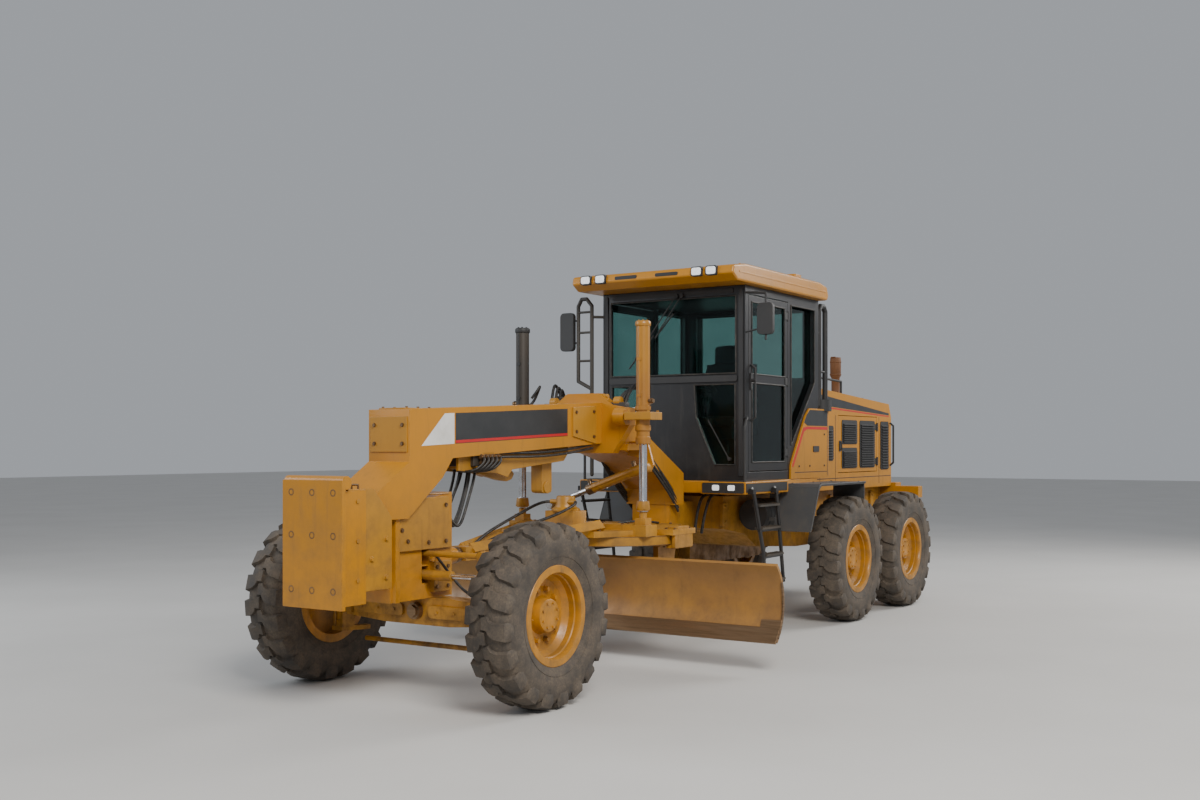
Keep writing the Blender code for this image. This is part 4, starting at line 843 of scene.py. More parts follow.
def front_frame_details():
    def plates(bm):
        for side in (-1, 1):
            near, far = sorted((side * 0.130, side * 0.156))
            add_prism(bm, [(3.36, 1.05), (3.96, 1.05), (3.96, 1.24), (3.86, 1.42), (3.40, 1.42)], near, far, "Y")
            near, far = sorted((side * 0.126, side * 0.168))
            add_prism(bm, [(3.38, 0.74), (3.57, 0.74), (3.57, 0.96), (3.38, 0.96)], near, far, "Y")
            near, far = sorted((side * 0.110, side * 0.135))
            add_prism(bm, [(3.26, 1.74), (3.26, 1.60), (2.80, 1.575), (2.66, 1.54), (2.60, 1.60), (1.90, 1.66),
                           (1.84, 1.72), (1.84, 1.86), (2.80, 1.80)], near, far, "Y")
            low, high = sorted((side * 0.188, side * 0.204))
            add_prism(bm, [(1.86, 1.86), (1.86, 2.10), (1.52, 2.12), (1.52, 1.80)], low, high, "Y")
        add_pad(bm, (3.50, 3.84), (-0.13, 0.13), (2.028, 2.052), 0.03, "Z")
        add_box(bm, (3.858, 3.868), (-0.17, 0.17), (1.74, 1.99))
        add_pad(bm, (1.96, 2.10), (-0.055, 0.055), (1.40, 1.72), 0.03, "Y")
        add_rod(bm, (2.03, -0.065, 1.445), (2.03, 0.065, 1.445), 0.050, 24)
        add_prism(bm, [(2.88, 1.62), (2.62, 1.600), (2.55, 1.565), (2.50, 1.560), (2.45, 1.585), (2.43, 1.56),
                       (2.46, 1.52), (2.52, 1.505), (2.62, 1.515), (2.74, 1.54), (2.88, 1.57)], -0.022, 0.022, "Y")
        add_rod(bm, (3.05, -0.16, 1.64), (3.05, 0.16, 1.64), 0.035, 20)
    solid("front_frame_plates", plates, "yellow_low", FRONT, bevel=0.004)

    def bolts(bm):
        for side in (-1, 1):
            for z in (1.80, 1.93):
                add_nut(bm, (3.867, side * 0.13, z), (1, 0, 0), 0.012, 0.012)
            for x, z in ((3.43, 1.10), (3.43, 1.36), (3.84, 1.12), (3.84, 1.32), (3.90, 1.20), (3.62, 1.10)):
                add_nut(bm, (x, side * 0.155, z), (0, side, 0), 0.013, 0.014)
            for x, z in ((3.42, 0.78), (3.54, 0.78), (3.42, 0.92), (3.54, 0.92)):
                add_nut(bm, (x, side * 0.167, z), (0, side, 0), 0.012, 0.012)
            for x in (3.95, 4.05, 4.15, 4.24):
                add_nut(bm, (x, side * 0.12, 1.395), (0, 0, 1), 0.011, 0.012)
            for x, z in ((1.56, 1.86), (1.56, 2.07), (1.82, 1.90), (1.82, 2.06)):
                add_nut(bm, (x, side * 0.203, z), (0, side, 0), 0.012, 0.012)
            for x in (3.56, 3.68, 3.80):
                add_nut(bm, (x, side * 0.11, 2.050), (0, 0, 1), 0.010, 0.012)
            for y in (0.10, 0.20, 0.30, 0.42):
                add_nut(bm, (1.375, side * y, 2.13 if y < 0.3 else 2.09), (0, 0, 1), 0.012, 0.014)
    solid("front_frame_bolts", bolts, "steel", FRONT)

    def welds(bm):
        for side in (-1, 1):
            points = [(3.37, side * 0.132, 1.44), (3.86, side * 0.132, 1.44), (3.97, side * 0.132, 1.25)]
            for start, end in zip(points, points[1:]):
                add_rod(bm, start, end, 0.006, 8)
            for x in (2.05, 2.55, 3.05):
                add_nut(bm, (x, side * 0.134, 1.73), (0, side, 0), 0.012, 0.012)
    solid("front_frame_welds", welds, "yellow_low", FRONT)


def push_plate_details():
    def pads(bm):
        for side in (-1, 1):
            near, far = sorted((side * 0.205, side * 0.228))
            add_prism(bm, [(4.08, 0.82), (4.50, 0.82), (4.50, 1.50), (4.26, 1.50), (4.08, 1.30)], near, far, "Y")
            for x, z in ((4.14, 0.90), (4.42, 0.90), (4.14, 1.16), (4.42, 1.16), (4.42, 1.42), (4.28, 1.03)):
                add_nut(bm, (x, side * 0.227, z), (0, side, 0), 0.016, 0.016)
    solid("push_plate_sides", pads, "yellow_low", FRONT, bevel=0.004)

    def holes(bm):
        for y in (-0.19, 0.0, 0.19):
            for z in (0.84, 1.20, 1.48):
                add_turned(bm, [(0.016, 0.0), (0.024, 0.0), (0.024, 0.0012), (0.016, 0.0012)], "X", (4.5995, y, z), 24)
        add_rod(bm, (4.20, 0.0, 1.30), (4.20, 0.0, 1.47), 0.030, 20)
        add_rod(bm, (4.20, 0.0, 1.455), (4.20, 0.0, 1.475), 0.048, 24)
        add_loop(bm, [(4.20, -0.03, 1.472), (4.20, -0.03, 1.52), (4.20, 0.03, 1.52), (4.20, 0.03, 1.472)], 0.007, closed=False)
    solid("tow_pin_and_rings", holes, "steel", FRONT)


def front_lines():
    fittings = []
    random.seed(11)
    for index in range(6):
        y = -0.10 + 0.036 * index
        x = 3.02 - 0.02 * (index % 2)
        drop = 1.28 + 0.05 * (index % 3)
        sway = random.uniform(-0.04, 0.04)
        points = [(x, y, 1.675), (x - 0.02, y, 1.58), (x + 0.10 + sway, y * 1.2, drop), (3.20 + sway, y * 1.4, 1.16),
                  (3.30, y * 1.5, 1.20), (3.335, y * 1.1, 1.30)]
        hose(f"bolster_hose_{index}", points, 0.011, FRONT)
        fittings.append((points[0], (points[0][0] - 0.004, y, 1.64)))
    for index in range(3):
        y = 0.160 + 0.010 * index
        z = 1.765 - 0.03 * index
        points = [(1.55, y, z + 0.06), (2.00, y, z), (2.50, y + 0.004, z - 0.012), (2.95, y, z), (3.10, 0.12, z - 0.03)]
        hose(f"beam_line_{index}", points, 0.010, FRONT)

    def ends(bm):
        for start, end in fittings:
            add_rod(bm, (start[0], start[1], 1.70), end, 0.016, 12)
            add_nut(bm, (start[0], start[1], 1.67), (0, 0, 1), 0.018, 0.020)
        for index in range(5):
            x = 2.86 + 0.05 * index
            add_rod(bm, (x, 0.13, 1.70), (x, 0.215, 1.70), 0.014, 12)
            add_nut(bm, (x, 0.185, 1.70), (0, 1, 0), 0.019, 0.022)
            add_nut(bm, (x, 0.185, 1.655), (0, 1, 0), 0.016, 0.020)
    solid("manifold_fittings", ends, "steel", FRONT)

    def manifold(bm):
        add_pad(bm, (2.82, 3.12), (-0.13, 0.165), (1.63, 1.745), 0.012, "X")
        add_box(bm, (2.90, 3.04), (0.14, 0.19), (1.66, 1.74))
    solid("manifold", manifold, "iron_and_shade", FRONT, bevel=0.006)
    for index in range(5):
        x = 2.86 + 0.05 * index
        points = [(x, 0.205, 1.70), (x + 0.01, 0.245, 1.69), (x + 0.06, 0.235, 1.61), (x + 0.14, 0.16, 1.585), (3.16, 0.05, 1.60)]
        hose(f"manifold_hose_{index}", points, 0.010, FRONT)

    for hand, side in SIDES:
        for index in range(3):
            start = (1.36, side * (0.30 + 0.04 * index), 2.115)
            points = [start, (1.30, side * (0.34 + 0.03 * index), 2.19 + 0.02 * index),
                      (1.22, side * (0.26 + 0.02 * index), 2.17 + 0.02 * index), (1.10, side * 0.215, 2.06),
                      (0.95, side * 0.212, 1.90 - 0.04 * index), (0.62, side * 0.262, 1.60 - 0.04 * index),
                      (0.34, side * 0.268, 1.38 - 0.04 * index), (0.20, side * 0.24, 1.24 - 0.03 * index)]
            hose(f"saddle_hose_{index}_{hand}", points, 0.012, FRONT)

        for index in range(3):
            points = [(1.35, side * (0.30 + 0.04 * index), 2.14), (1.28, side * (0.33 + 0.04 * index), 2.26 + 0.03 * index),
                      (1.16, side * (0.40 + 0.03 * index), 2.30 + 0.02 * index), (1.08, side * (0.42 + 0.02 * index), 2.20),
                      (1.10, side * 0.36, 2.08), (1.20, side * 0.24, 2.04)]
            hose(f"saddle_loop_{index}_{hand}", points, 0.013, FRONT)

        def valve(bm, side=side):
            add_pad(bm, (1.34, 1.41), (side * 0.26, side * 0.42), (2.095, 2.150), 0.01, "X")
            for y in (0.30, 0.34, 0.38):
                add_nut(bm, (1.36, side * y, 2.10), (0, 0, 1), 0.018, 0.035)
        solid(f"lift_valve_{hand}", valve, "iron_and_shade", FRONT, bevel=0.004)


def axle_details():
    def pins(bm):
        for x, z in ((3.49, 0.60),):
            add_rod(bm, (x - 0.12, 0, z), (x + 0.115, 0, z), 0.060, 24)
            add_nut(bm, (x + 0.112, 0, z), (1, 0, 0), 0.045, 0.025)
    solid("axle_pin", pins, "steel", FRONT)

    def ribs(bm):
        for side in (-1, 1):
            add_pad(bm, (3.565, 3.585), (side * 0.12, side * 0.60), (0.555, 0.645), 0.03, "X")
            for y in (0.20, 0.36, 0.52):
                add_nut(bm, (3.584, side * y, 0.60), (1, 0, 0), 0.012, 0.012)
    solid("axle_ribs", ribs, "yellow_low", FRONT, bevel=0.003)
    for hand, side in SIDES:
        hose(f"axle_hose_{hand}", [(3.52, side * 0.14, 1.00), (3.56, side * 0.26, 0.92), (3.54, side * 0.36, 0.80),
                                   (3.50, side * 0.42, 0.73), (3.48, side * 0.52, 0.708)], 0.010, FRONT)


# ---------------------------------------------------------------- hood, platform, ladders and rear

def side_cover_decals():
    for hand, side in SIDES:
        near, far = sorted((side * 0.7995, side * 0.8015))
        band = [(-1.36, 2.015), (-1.42, 2.09), (-1.50, 2.145), (-1.94, 2.145), (-1.94, 1.985), (-1.44, 1.985)]
        solid(f"cover_band_{hand}", lambda bm: add_prism(bm, band, near, far, "Y"), "decal", BASE)
        stripe = [(-1.94, 1.975), (-1.94, 1.948), (-1.43, 1.948), (-1.36, 1.925), (-1.105, 1.572), (-1.085, 1.572),
                  (-1.085, 1.600), (-1.345, 1.965), (-1.43, 1.975)]
        solid(f"cover_stripe_{hand}", lambda bm: add_prism(bm, stripe, near, far, "Y"), "red", BASE)
        low, high = sorted((side * 0.5595, side * 0.5610))
        solid(f"hood_band_{hand}", lambda bm: add_prism(bm, [(-2.00, 2.23), (-4.34, 2.145), (-4.34, 2.17), (-2.00, 2.36)],
                                                        low, high, "Y"), "decal", BASE)
        solid(f"hood_stripe_{hand}", lambda bm: add_prism(bm, [(-2.00, 2.205), (-4.34, 2.125), (-4.34, 2.138), (-2.00, 2.222)],
                                                          low, high, "Y"), "red", BASE)


def hood_details():
    def seams(bm):
        for _, side in SIDES:
            near, far = sorted((side * 0.5585, side * 0.5612))
            for x in (-2.30, -2.72, -4.02):
                add_box(bm, (x - 0.004, x + 0.004), (near, far), (1.34, 2.12))
            add_box(bm, (-4.40, -2.00), (near, far), (1.420, 1.428))
            near, far = sorted((side * 0.7990, side * 0.8012))
            add_box(bm, (-1.944, -1.936), (near, far), (1.48, 2.13))
            add_box(bm, (-1.93, -1.14), (near, far), (1.515, 1.522))
    solid("hood_seams", seams, "trim", BASE)

    def louvres(bm, x_range, z_range, face, side, rows):
        x0, x1 = x_range
        z0, z1 = z_range
        near, far = sorted((side * (face - 0.002), side * (face + 0.006)))
        add_pad(bm, x_range, (near, far), z_range, 0.03, "Y")
        pitch = (z1 - z0 - 0.05) / rows
        for row in range(rows):
            z = z0 + 0.03 + pitch * row
            made = add_box(bm, (x0 + 0.03, x1 - 0.03), (side * face, side * (face + 0.022)), (z, z + 0.008))
            for vertex in made:
                if abs(vertex.co.y) > face + 0.01:
                    vertex.co.z -= 0.012

    for hand, side in SIDES:
        def door_grilles(bm, side=side):
            louvres(bm, (-3.34, -2.90), (1.80, 2.07), 0.558, side, 9)
            louvres(bm, (-3.34, -2.90), (1.53, 1.76), 0.558, side, 8)
            louvres(bm, (-3.88, -3.42), (1.53, 2.07), 0.558, side, 18)
        solid(f"engine_door_{hand}_grilles", door_grilles, "trim", f"engine_door_{hand}")

        def door_handle(bm, side=side):
            low, high = sorted((side * 0.556, side * 0.566))
            add_pad(bm, (-2.875, -2.825), (low, high), (1.72, 1.84), 0.012, "Y")
            add_loop(bm, [(-2.85, side * 0.566, 1.74), (-2.85, side * 0.582, 1.75), (-2.85, side * 0.582, 1.81),
                          (-2.85, side * 0.566, 1.82)], 0.006, closed=False)
            for z in (1.60, 2.00):
                add_rod(bm, (-3.948, side * 0.566, z - 0.05), (-3.948, side * 0.566, z + 0.05), 0.011, 12)
                add_box(bm, (-3.945, -3.900), (side * 0.556, side * 0.563), (z - 0.035, z + 0.035))
        solid(f"engine_door_{hand}_handle", door_handle, "trim", f"engine_door_{hand}")

        def fixed_grille(bm, side=side):
            louvres(bm, (-4.32, -4.06), (1.50, 2.07), 0.560, side, 16)
            louvres(bm, (-2.66, -2.36), (1.62, 2.00), 0.560, side, 11)
        solid(f"radiator_grille_{hand}", fixed_grille, "trim", BASE)

        def step_rails(bm, side=side):
            add_loop(bm, [(-2.14, side * 0.50, 2.39), (-2.14, side * 0.50, 2.53), (-3.02, side * 0.50, 2.50),
                          (-3.02, side * 0.50, 2.34)], 0.013, closed=False)
            add_rod(bm, (-2.58, side * 0.50, 2.37), (-2.58, side * 0.50, 2.52), 0.011)
            add_loop(bm, [(-4.36, side * 0.575, 1.55), (-4.36, side * 0.61, 1.58), (-4.36, side * 0.61, 2.02),
                          (-4.36, side * 0.575, 2.05)], 0.012, closed=False)
        solid(f"hood_rail_{hand}", step_rails, "trim", BASE)

        def cover_fittings(bm, side=side):
            for x, z in ((-1.86, 1.90), (-1.86, 1.58), (-1.50, 1.58), (-1.24, 1.58)):
                add_nut(bm, (x, side * 0.799, z), (0, side, 0), 0.009, 0.008)
            near, far = sorted((side * 0.798, side * 0.808))
            add_pad(bm, (-1.72, -1.58), (near, far), (1.72, 1.78), 0.012, "Y")
        solid(f"cover_fittings_{hand}", cover_fittings, "trim", BASE, bevel=0.002)

    def rear(bm):
        add_pad(bm, (-4.428, -4.416), (-0.44, 0.44), (1.42, 2.08), 0.05, "X")
        for row in range(20):
            z = 1.465 + 0.030 * row
            made = add_box(bm, (-4.445, -4.424), (-0.41, 0.41), (z, z + 0.008))
            for vertex in made:
                if vertex.co.x < -4.436:
                    vertex.co.z -= 0.012
    solid("rear_grille", rear, "trim", BASE)

    def rear_lamps(bm):
        for _, side in SIDES:
            add_pad(bm, (-4.610, -4.596), (side * 0.66, side * 0.86), (1.19, 1.27), 0.02, "X")
    solid("rear_lamps", rear_lamps, "red", BASE, bevel=0.004)

    def top(bm):
        add_rod(bm, (-3.60, 0.0, 2.30), (-3.60, 0.0, 2.40), 0.075, 28)
        add_rod(bm, (-3.60, 0.0, 2.395), (-3.60, 0.0, 2.415), 0.095, 28)
        add_rod(bm, (-2.28, 0.30, 2.38), (-2.28, 0.30, 2.455), 0.045, 24)
        add_rod(bm, (-2.28, 0.30, 2.45), (-2.28, 0.30, 2.470), 0.055, 24)
        for x in (-2.70, -3.20, -3.75):
            add_pad(bm, (x - 0.045, x + 0.045), (0.40, 0.46), (2.30, 2.372 - 0.03 * (-2.70 - x)), 0.01, "Z")
    solid("hood_top_caps", top, "trim", BASE, bevel=0.004)

    def stack(bm):
        add_turned(bm, [(0.0, 2.352), (0.105, 2.352), (0.105, 2.364), (0.060, 2.372), (0.050, 2.42), (0.050, 2.60),
                        (0.064, 2.62), (0.066, 2.80), (0.062, 2.845), (0.050, 2.845), (0.050, 2.75), (0.0, 2.75)],
                   "Z", (-4.05, 0, 0), 40)
        for index in range(8):
            angle = 2 * math.pi * index / 8
            add_nut(bm, (-4.05 + 0.088 * math.cos(angle), 0.088 * math.sin(angle), 2.362), (0, 0, 1), 0.009, 0.010)
        for z in (2.63, 2.78):
            add_turned(bm, [(0.066, z), (0.070, z + 0.004), (0.070, z + 0.014), (0.066, z + 0.018)], "Z", (-4.05, 0, 0), 40)
        add_rod(bm, (-4.05 + 0.07, -0.03, 2.845), (-4.05 + 0.07, 0.03, 2.845), 0.007, 8)
    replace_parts(solid("exhaust_stack_look", stack, "rust", BASE), "exhaust_stack")


def platform_details():
    def strip(bm):
        for _, side in SIDES:
            add_pad(bm, (0.128, 0.140), (side * 0.46, side * 0.885), (1.352, 1.445), 0.012, "X")
            near, far = sorted((side * 0.898, side * 0.906))
            add_box(bm, (-0.74, 0.12), (near, far), (1.36, 1.44))
            add_pad(bm, (-0.09, 0.10), (side * 0.50, side * 0.86), (1.450, 1.462), 0.02, "Z")
    solid("platform_trim", strip, "trim", BASE)

    def lights(bm):
        for _, side in SIDES:
            for y in (0.60, 0.76):
                add_pad(bm, (0.137, 0.146), (side * (y - 0.035), side * (y + 0.035)), (1.375, 1.425), 0.012, "X")
    solid("platform_lights", lights, "lamp", BASE, bevel=0.002)

    def treads(bm):
        for _, side in SIDES:
            y = side * 0.94
            for front_x, rear_x, z in ((-0.188, -0.577, 0.52), (-0.160, -0.537, 0.76), (-0.065, -0.487, 1.01),
                                       (-0.010, -0.450, 1.22)):
                add_pad(bm, (rear_x + 0.01, front_x - 0.01), (y - 0.055, y + 0.035), (z + 0.006, z + 0.024), 0.012, "Z")
                for index in range(9):
                    x = rear_x + 0.03 + (front_x - rear_x - 0.06) * index / 8
                    add_rod(bm, (x, y - 0.045, z + 0.026), (x, y + 0.025, z + 0.026), 0.005, 6)
    solid("ladder_treads", treads, "iron_and_shade", BASE)

    def rails(bm):
        for _, side in SIDES:
            add_loop(bm, [(0.09, side * 0.87, 1.44), (0.09, side * 0.87, 1.95), (0.05, side * 0.87, 2.02),
                          (-0.06, side * 0.82, 2.04), (-0.105, side * 0.770, 2.04)], 0.013, closed=False)
    solid("entry_rails", rails, "trim", BASE)

    def frame_bits(bm):
        for _, side in SIDES:
            for x in (-0.35, -0.85, -1.35, -2.3, -2.9, -3.5, -4.1):
                add_pad(bm, (x - 0.05, x + 0.05), (side * 0.415, side * 0.445), (1.02, 1.24), 0.01, "Y")
                for z in (1.06, 1.20):
                    add_nut(bm, (x, side * 0.443, z), (0, side, 0), 0.012, 0.012)
            near, far = sorted((side * 0.840, side * 0.856))
            for x in (-1.866, -3.388):
                add_rod(bm, (x, side * 0.84, 0.635), (x, side * 0.868, 0.635), 0.20, 36)
                for index in range(10):
                    angle = 2 * math.pi * index / 10
                    add_nut(bm, (x + 0.165 * math.cos(angle), side * 0.866, 0.635 + 0.165 * math.sin(angle)),
                            (0, side, 0), 0.012, 0.010)
            add_pad(bm, (-2.86, -2.38), (near, far), (0.62, 0.92), 0.05, "Y")
            for x in (-2.80, -2.62, -2.44):
                for z in (0.66, 0.88):
                    add_nut(bm, (x, side * 0.855, z), (0, side, 0), 0.011, 0.010)
    solid("rear_frame_fittings", frame_bits, "yellow_low", BASE, bevel=0.002)

    def tank(bm):
        add_rod(bm, (-0.62, 0.60, 1.12), (-1.24, 0.60, 1.12), 0.150, 36)
        add_rod(bm, (-0.62, -0.60, 1.12), (-1.24, -0.60, 1.12), 0.150, 36)
        for _, side in SIDES:
            for x in (-0.74, -1.12):
                add_turned(bm, [(0.150, x - 0.02), (0.156, x - 0.02), (0.156, x + 0.02), (0.150, x + 0.02)], "X",
                           (0, side * 0.60, 1.12), 36)
    solid("air_tanks", tank, "trim", BASE, bevel=0.012)

    def hitch(bm):
        for z in (0.945, 1.295):
            add_rod(bm, (0.0, 0.0, z - 0.018), (0.0, 0.0, z + 0.018), 0.085, 32)
        for index in range(6):
            angle = 2 * math.pi * index / 6
            add_nut(bm, (0.055 * math.cos(angle), 0.055 * math.sin(angle), 1.312), (0, 0, 1), 0.011, 0.012)
    solid("hitch_caps", hitch, "steel", BASE, bevel=0.003)

    def bumper(bm):
        for y in (-0.52, -0.34, 0.34, 0.52):
            for z in (0.94, 1.10):
                add_turned(bm, [(0.0, 0.0), (0.022, 0.0), (0.022, 0.006), (0.0, 0.006)], "X", (-4.604, y, z), 24)
        add_pad(bm, (-4.608, -4.596), (-0.20, 0.20), (0.92, 1.12), 0.02, "X")
    solid("bumper_fittings", bumper, "iron_and_shade", BASE, bevel=0.002)

    for hand, side in SIDES:
        def flap(bm, side=side):
            low, high = sorted((side * 0.83, side * 1.17))
            add_pad(bm, (-2.036, -2.022), (low, high), (1.10, 1.412), 0.02, "X")
            for x, z in ((-0.80, 1.30), (-0.70, 1.08)):
                add_box(bm, (x - 0.02, x + 0.02), sorted((side * 0.70, side * 0.80)), (z - 0.02, z + 0.02))
            for x in (-1.00, -1.50, -1.95):
                add_nut(bm, (x, side * 0.84, 1.412), (0, 0, 1), 0.011, 0.010)
                add_nut(bm, (x, side * 1.14, 1.412), (0, 0, 1), 0.011, 0.010)
            add_loop(bm, [(-0.655, side * 1.188, 0.985), (-0.85, side * 1.188, 1.398), (-0.905, side * 1.188, 1.412),
                          (-2.015, side * 1.188, 1.412)], 0.008, closed=False)
        solid(f"fender_{hand}_fittings", flap, "fender", BASE)

    for index in range(4):
        y = (-0.34, -0.26, 0.26, 0.34)[index]
        hose(f"hitch_hose_{index}", [(-0.46, y, 1.296), (-0.42, y, 1.33), (-0.22, y * 1.05, 1.325),
                                     (-0.12, y * 1.1, 1.24), (-0.10, y, 1.08), (-0.13, y * 0.9, 0.96)], 0.014, BASE)


# ---------------------------------------------------------------- drawbar, circle, blade and cylinders

def circle_details():
    def teeth(bm):
        count = 80
        for index in range(count):
            angle = 2 * math.pi * index / count
            turn = Matrix.Translation((1.09, 0, 0)) @ Matrix.Rotation(angle, 4, "Z")
            made = add_prism(bm, [(0.633, -0.020), (0.633, 0.020), (0.600, 0.009), (0.600, -0.009)], 0.963, 1.027, "Z")
            bmesh.ops.transform(bm, matrix=turn, verts=made)
    solid("circle_teeth", teeth, "steel", "circle")

    def wear(bm):
        for z in (0.957, 1.029):
            add_turned(bm, [(0.764, z), (0.768, z), (0.768, z + 0.004), (0.764, z + 0.004)], "Z", (1.09, 0, 0), 72)
        for side in (-1, 1):
            for x in (0.90, 1.02, 1.14):
                add_nut(bm, (x, side * 0.64, 0.937), (0, 0, -1), 0.014, 0.014)
            for x, z in ((1.09, 0.43),):
                near, far = side * 0.600, side * 0.690
                add_rod(bm, (x + 0.01, near, z), (x + 0.01, far, z), 0.030, 20)
    solid("circle_fittings", wear, "steel", "circle")


def drawbar_details():
    def bolts(bm):
        for side in (-1, 1):
            for x in (0.97, 1.05, 1.13, 1.21):
                add_nut(bm, (x, side * 0.785, 1.078), (0, 0, 1), 0.014, 0.016)
                add_nut(bm, (x, side * 0.70, 1.081), (0, 0, 1), 0.012, 0.014)
            for x, y in ((0.58, 0.38), (0.80, 0.60), (1.32, 0.62), (1.78, 0.40)):
                add_nut(bm, (x, side * y, 1.083), (0, 0, 1), 0.013, 0.014)
            for y in (0.20, 0.45):
                add_nut(bm, (1.41, side * y, 1.128), (0, 0, 1), 0.012, 0.014)
                add_nut(bm, (1.50, side * y, 1.128), (0, 0, 1), 0.012, 0.014)
            for x in (2.82, 2.90, 2.98):
                add_nut(bm, (x, side * 0.045, 1.028), (0, 0, 1), 0.012, 0.014)
        for index in range(8):
            angle = 2 * math.pi * index / 8
            add_nut(bm, (1.68 + 0.062 * math.cos(angle), 0.062 * math.sin(angle), 1.358), (0, 0, 1), 0.007, 0.008)
    solid("drawbar_bolts", bolts, "steel", "drawbar")

    def housing(bm):
        add_turned(bm, [(0.0, 1.235), (0.120, 1.235), (0.120, 1.255), (0.092, 1.270), (0.080, 1.30), (0.080, 1.345),
                        (0.070, 1.364), (0.0, 1.364)], "Z", (1.68, 0, 0), 36)
        add_rod(bm, (1.72, 0.05, 1.315), (1.72, 0.125, 1.315), 0.020, 16)
        add_rod(bm, (1.72, -0.05, 1.315), (1.72, -0.125, 1.315), 0.020, 16)
        for side in (-1, 1):
            add_pad(bm, (0.98, 1.20), (side * 0.70, side * 0.80), (1.080, 1.105), 0.02, "Z")
            add_prism(bm, [(1.96, 1.085), (2.44, 1.055), (2.44, 1.005), (1.96, 1.010)],
                      *sorted((side * 0.235, side * 0.250)), "Y")
        for x in (1.95, 2.30):
            spread = 0.36 - 0.315 * (x - 1.70) / 1.31
            add_rod(bm, (x, -spread + 0.02, 1.085), (x, spread - 0.02, 1.085), 0.026, 16)
    solid("drawbar_housing", housing, "yellow_low", "drawbar", bevel=0.003)
    for index, side in enumerate((-1, 1)):
        hose(f"drive_hose_{index}", [(1.72, side * 0.115, 1.315), (1.76, side * 0.19, 1.32), (2.00, side * 0.20, 1.24),
                                     (2.40, side * 0.13, 1.16), (2.72, side * 0.07, 1.085), (2.86, side * 0.035, 1.032)],
             0.012, "drawbar")
    for index, y in enumerate((0.24, -0.24)):
        hose(f"plate_hose_{index}", [(1.36, y, 1.10), (1.16, y * 1.1, 1.15), (0.86, y * 1.3, 1.12), (0.64, y * 1.2, 1.095)],
             0.010, "drawbar")


def blade_details():
    centre_x, centre_z = 1.44 + math.sqrt(0.413 ** 2 - 0.28 ** 2), 0.553

    def edge(bm):
        slope = Vector((-0.118, 0.150)).normalized()
        for index in range(25):
            y = -1.76 + 3.52 * index / 24
            for step in (0.040, 0.082):
                point = Vector((1.462, y, 0.240)) + Vector((slope.x, 0, slope.y)) * step
                normal = Vector((slope.y, 0, -slope.x))
                add_nut(bm, point - normal * 0.004, normal, 0.010, 0.010)
    solid("edge_bolts", edge, "steel", "moldboard")

    def end_bits(bm):
        for side in (-1, 1):
            outline = []
            for step in range(9):
                angle = math.radians(-40 + 62 * step / 8)
                outline.append((centre_x - 0.409 * math.cos(angle), centre_z + 0.409 * math.sin(angle)))
            back = [(centre_x - 0.432 * math.cos(math.radians(-40 + 62 * step / 8)),
                     centre_z + 0.432 * math.sin(math.radians(-40 + 62 * step / 8))) for step in range(8, -1, -1)]
            low, high = sorted((side * 1.826, side * 1.839))
            add_prism(bm, outline + back, low, high, "Y")
            low, high = sorted((side * 1.66, side * 1.834))
            thin = [(centre_x - 0.4065 * math.cos(math.radians(a)), centre_z + 0.4065 * math.sin(math.radians(a)))
                    for a in (-41, -34, -27, -20)]
            thick = [(centre_x - 0.414 * math.cos(math.radians(a)), centre_z + 0.414 * math.sin(math.radians(a)))
                     for a in (-20, -27, -34, -41)]
            add_prism(bm, thin + thick, low, high, "Y")
    solid("end_bits", end_bits, "steel", "moldboard", bevel=0.001)

    def ribs(bm):
        for y in (-1.60, -1.08, -0.36, 0.36, 1.08, 1.60):
            outline = []
            for step in range(7):
                angle = math.radians(-22 + 44 * step / 6)
                outline.append((centre_x - 0.428 * math.cos(angle), centre_z + 0.428 * math.sin(angle)))
            outline += [(1.305, 0.64), (1.305, 0.44)]
            add_prism(bm, outline, y - 0.008, y + 0.008, "Y")
    solid("moldboard_ribs", ribs, "blade", "moldboard")


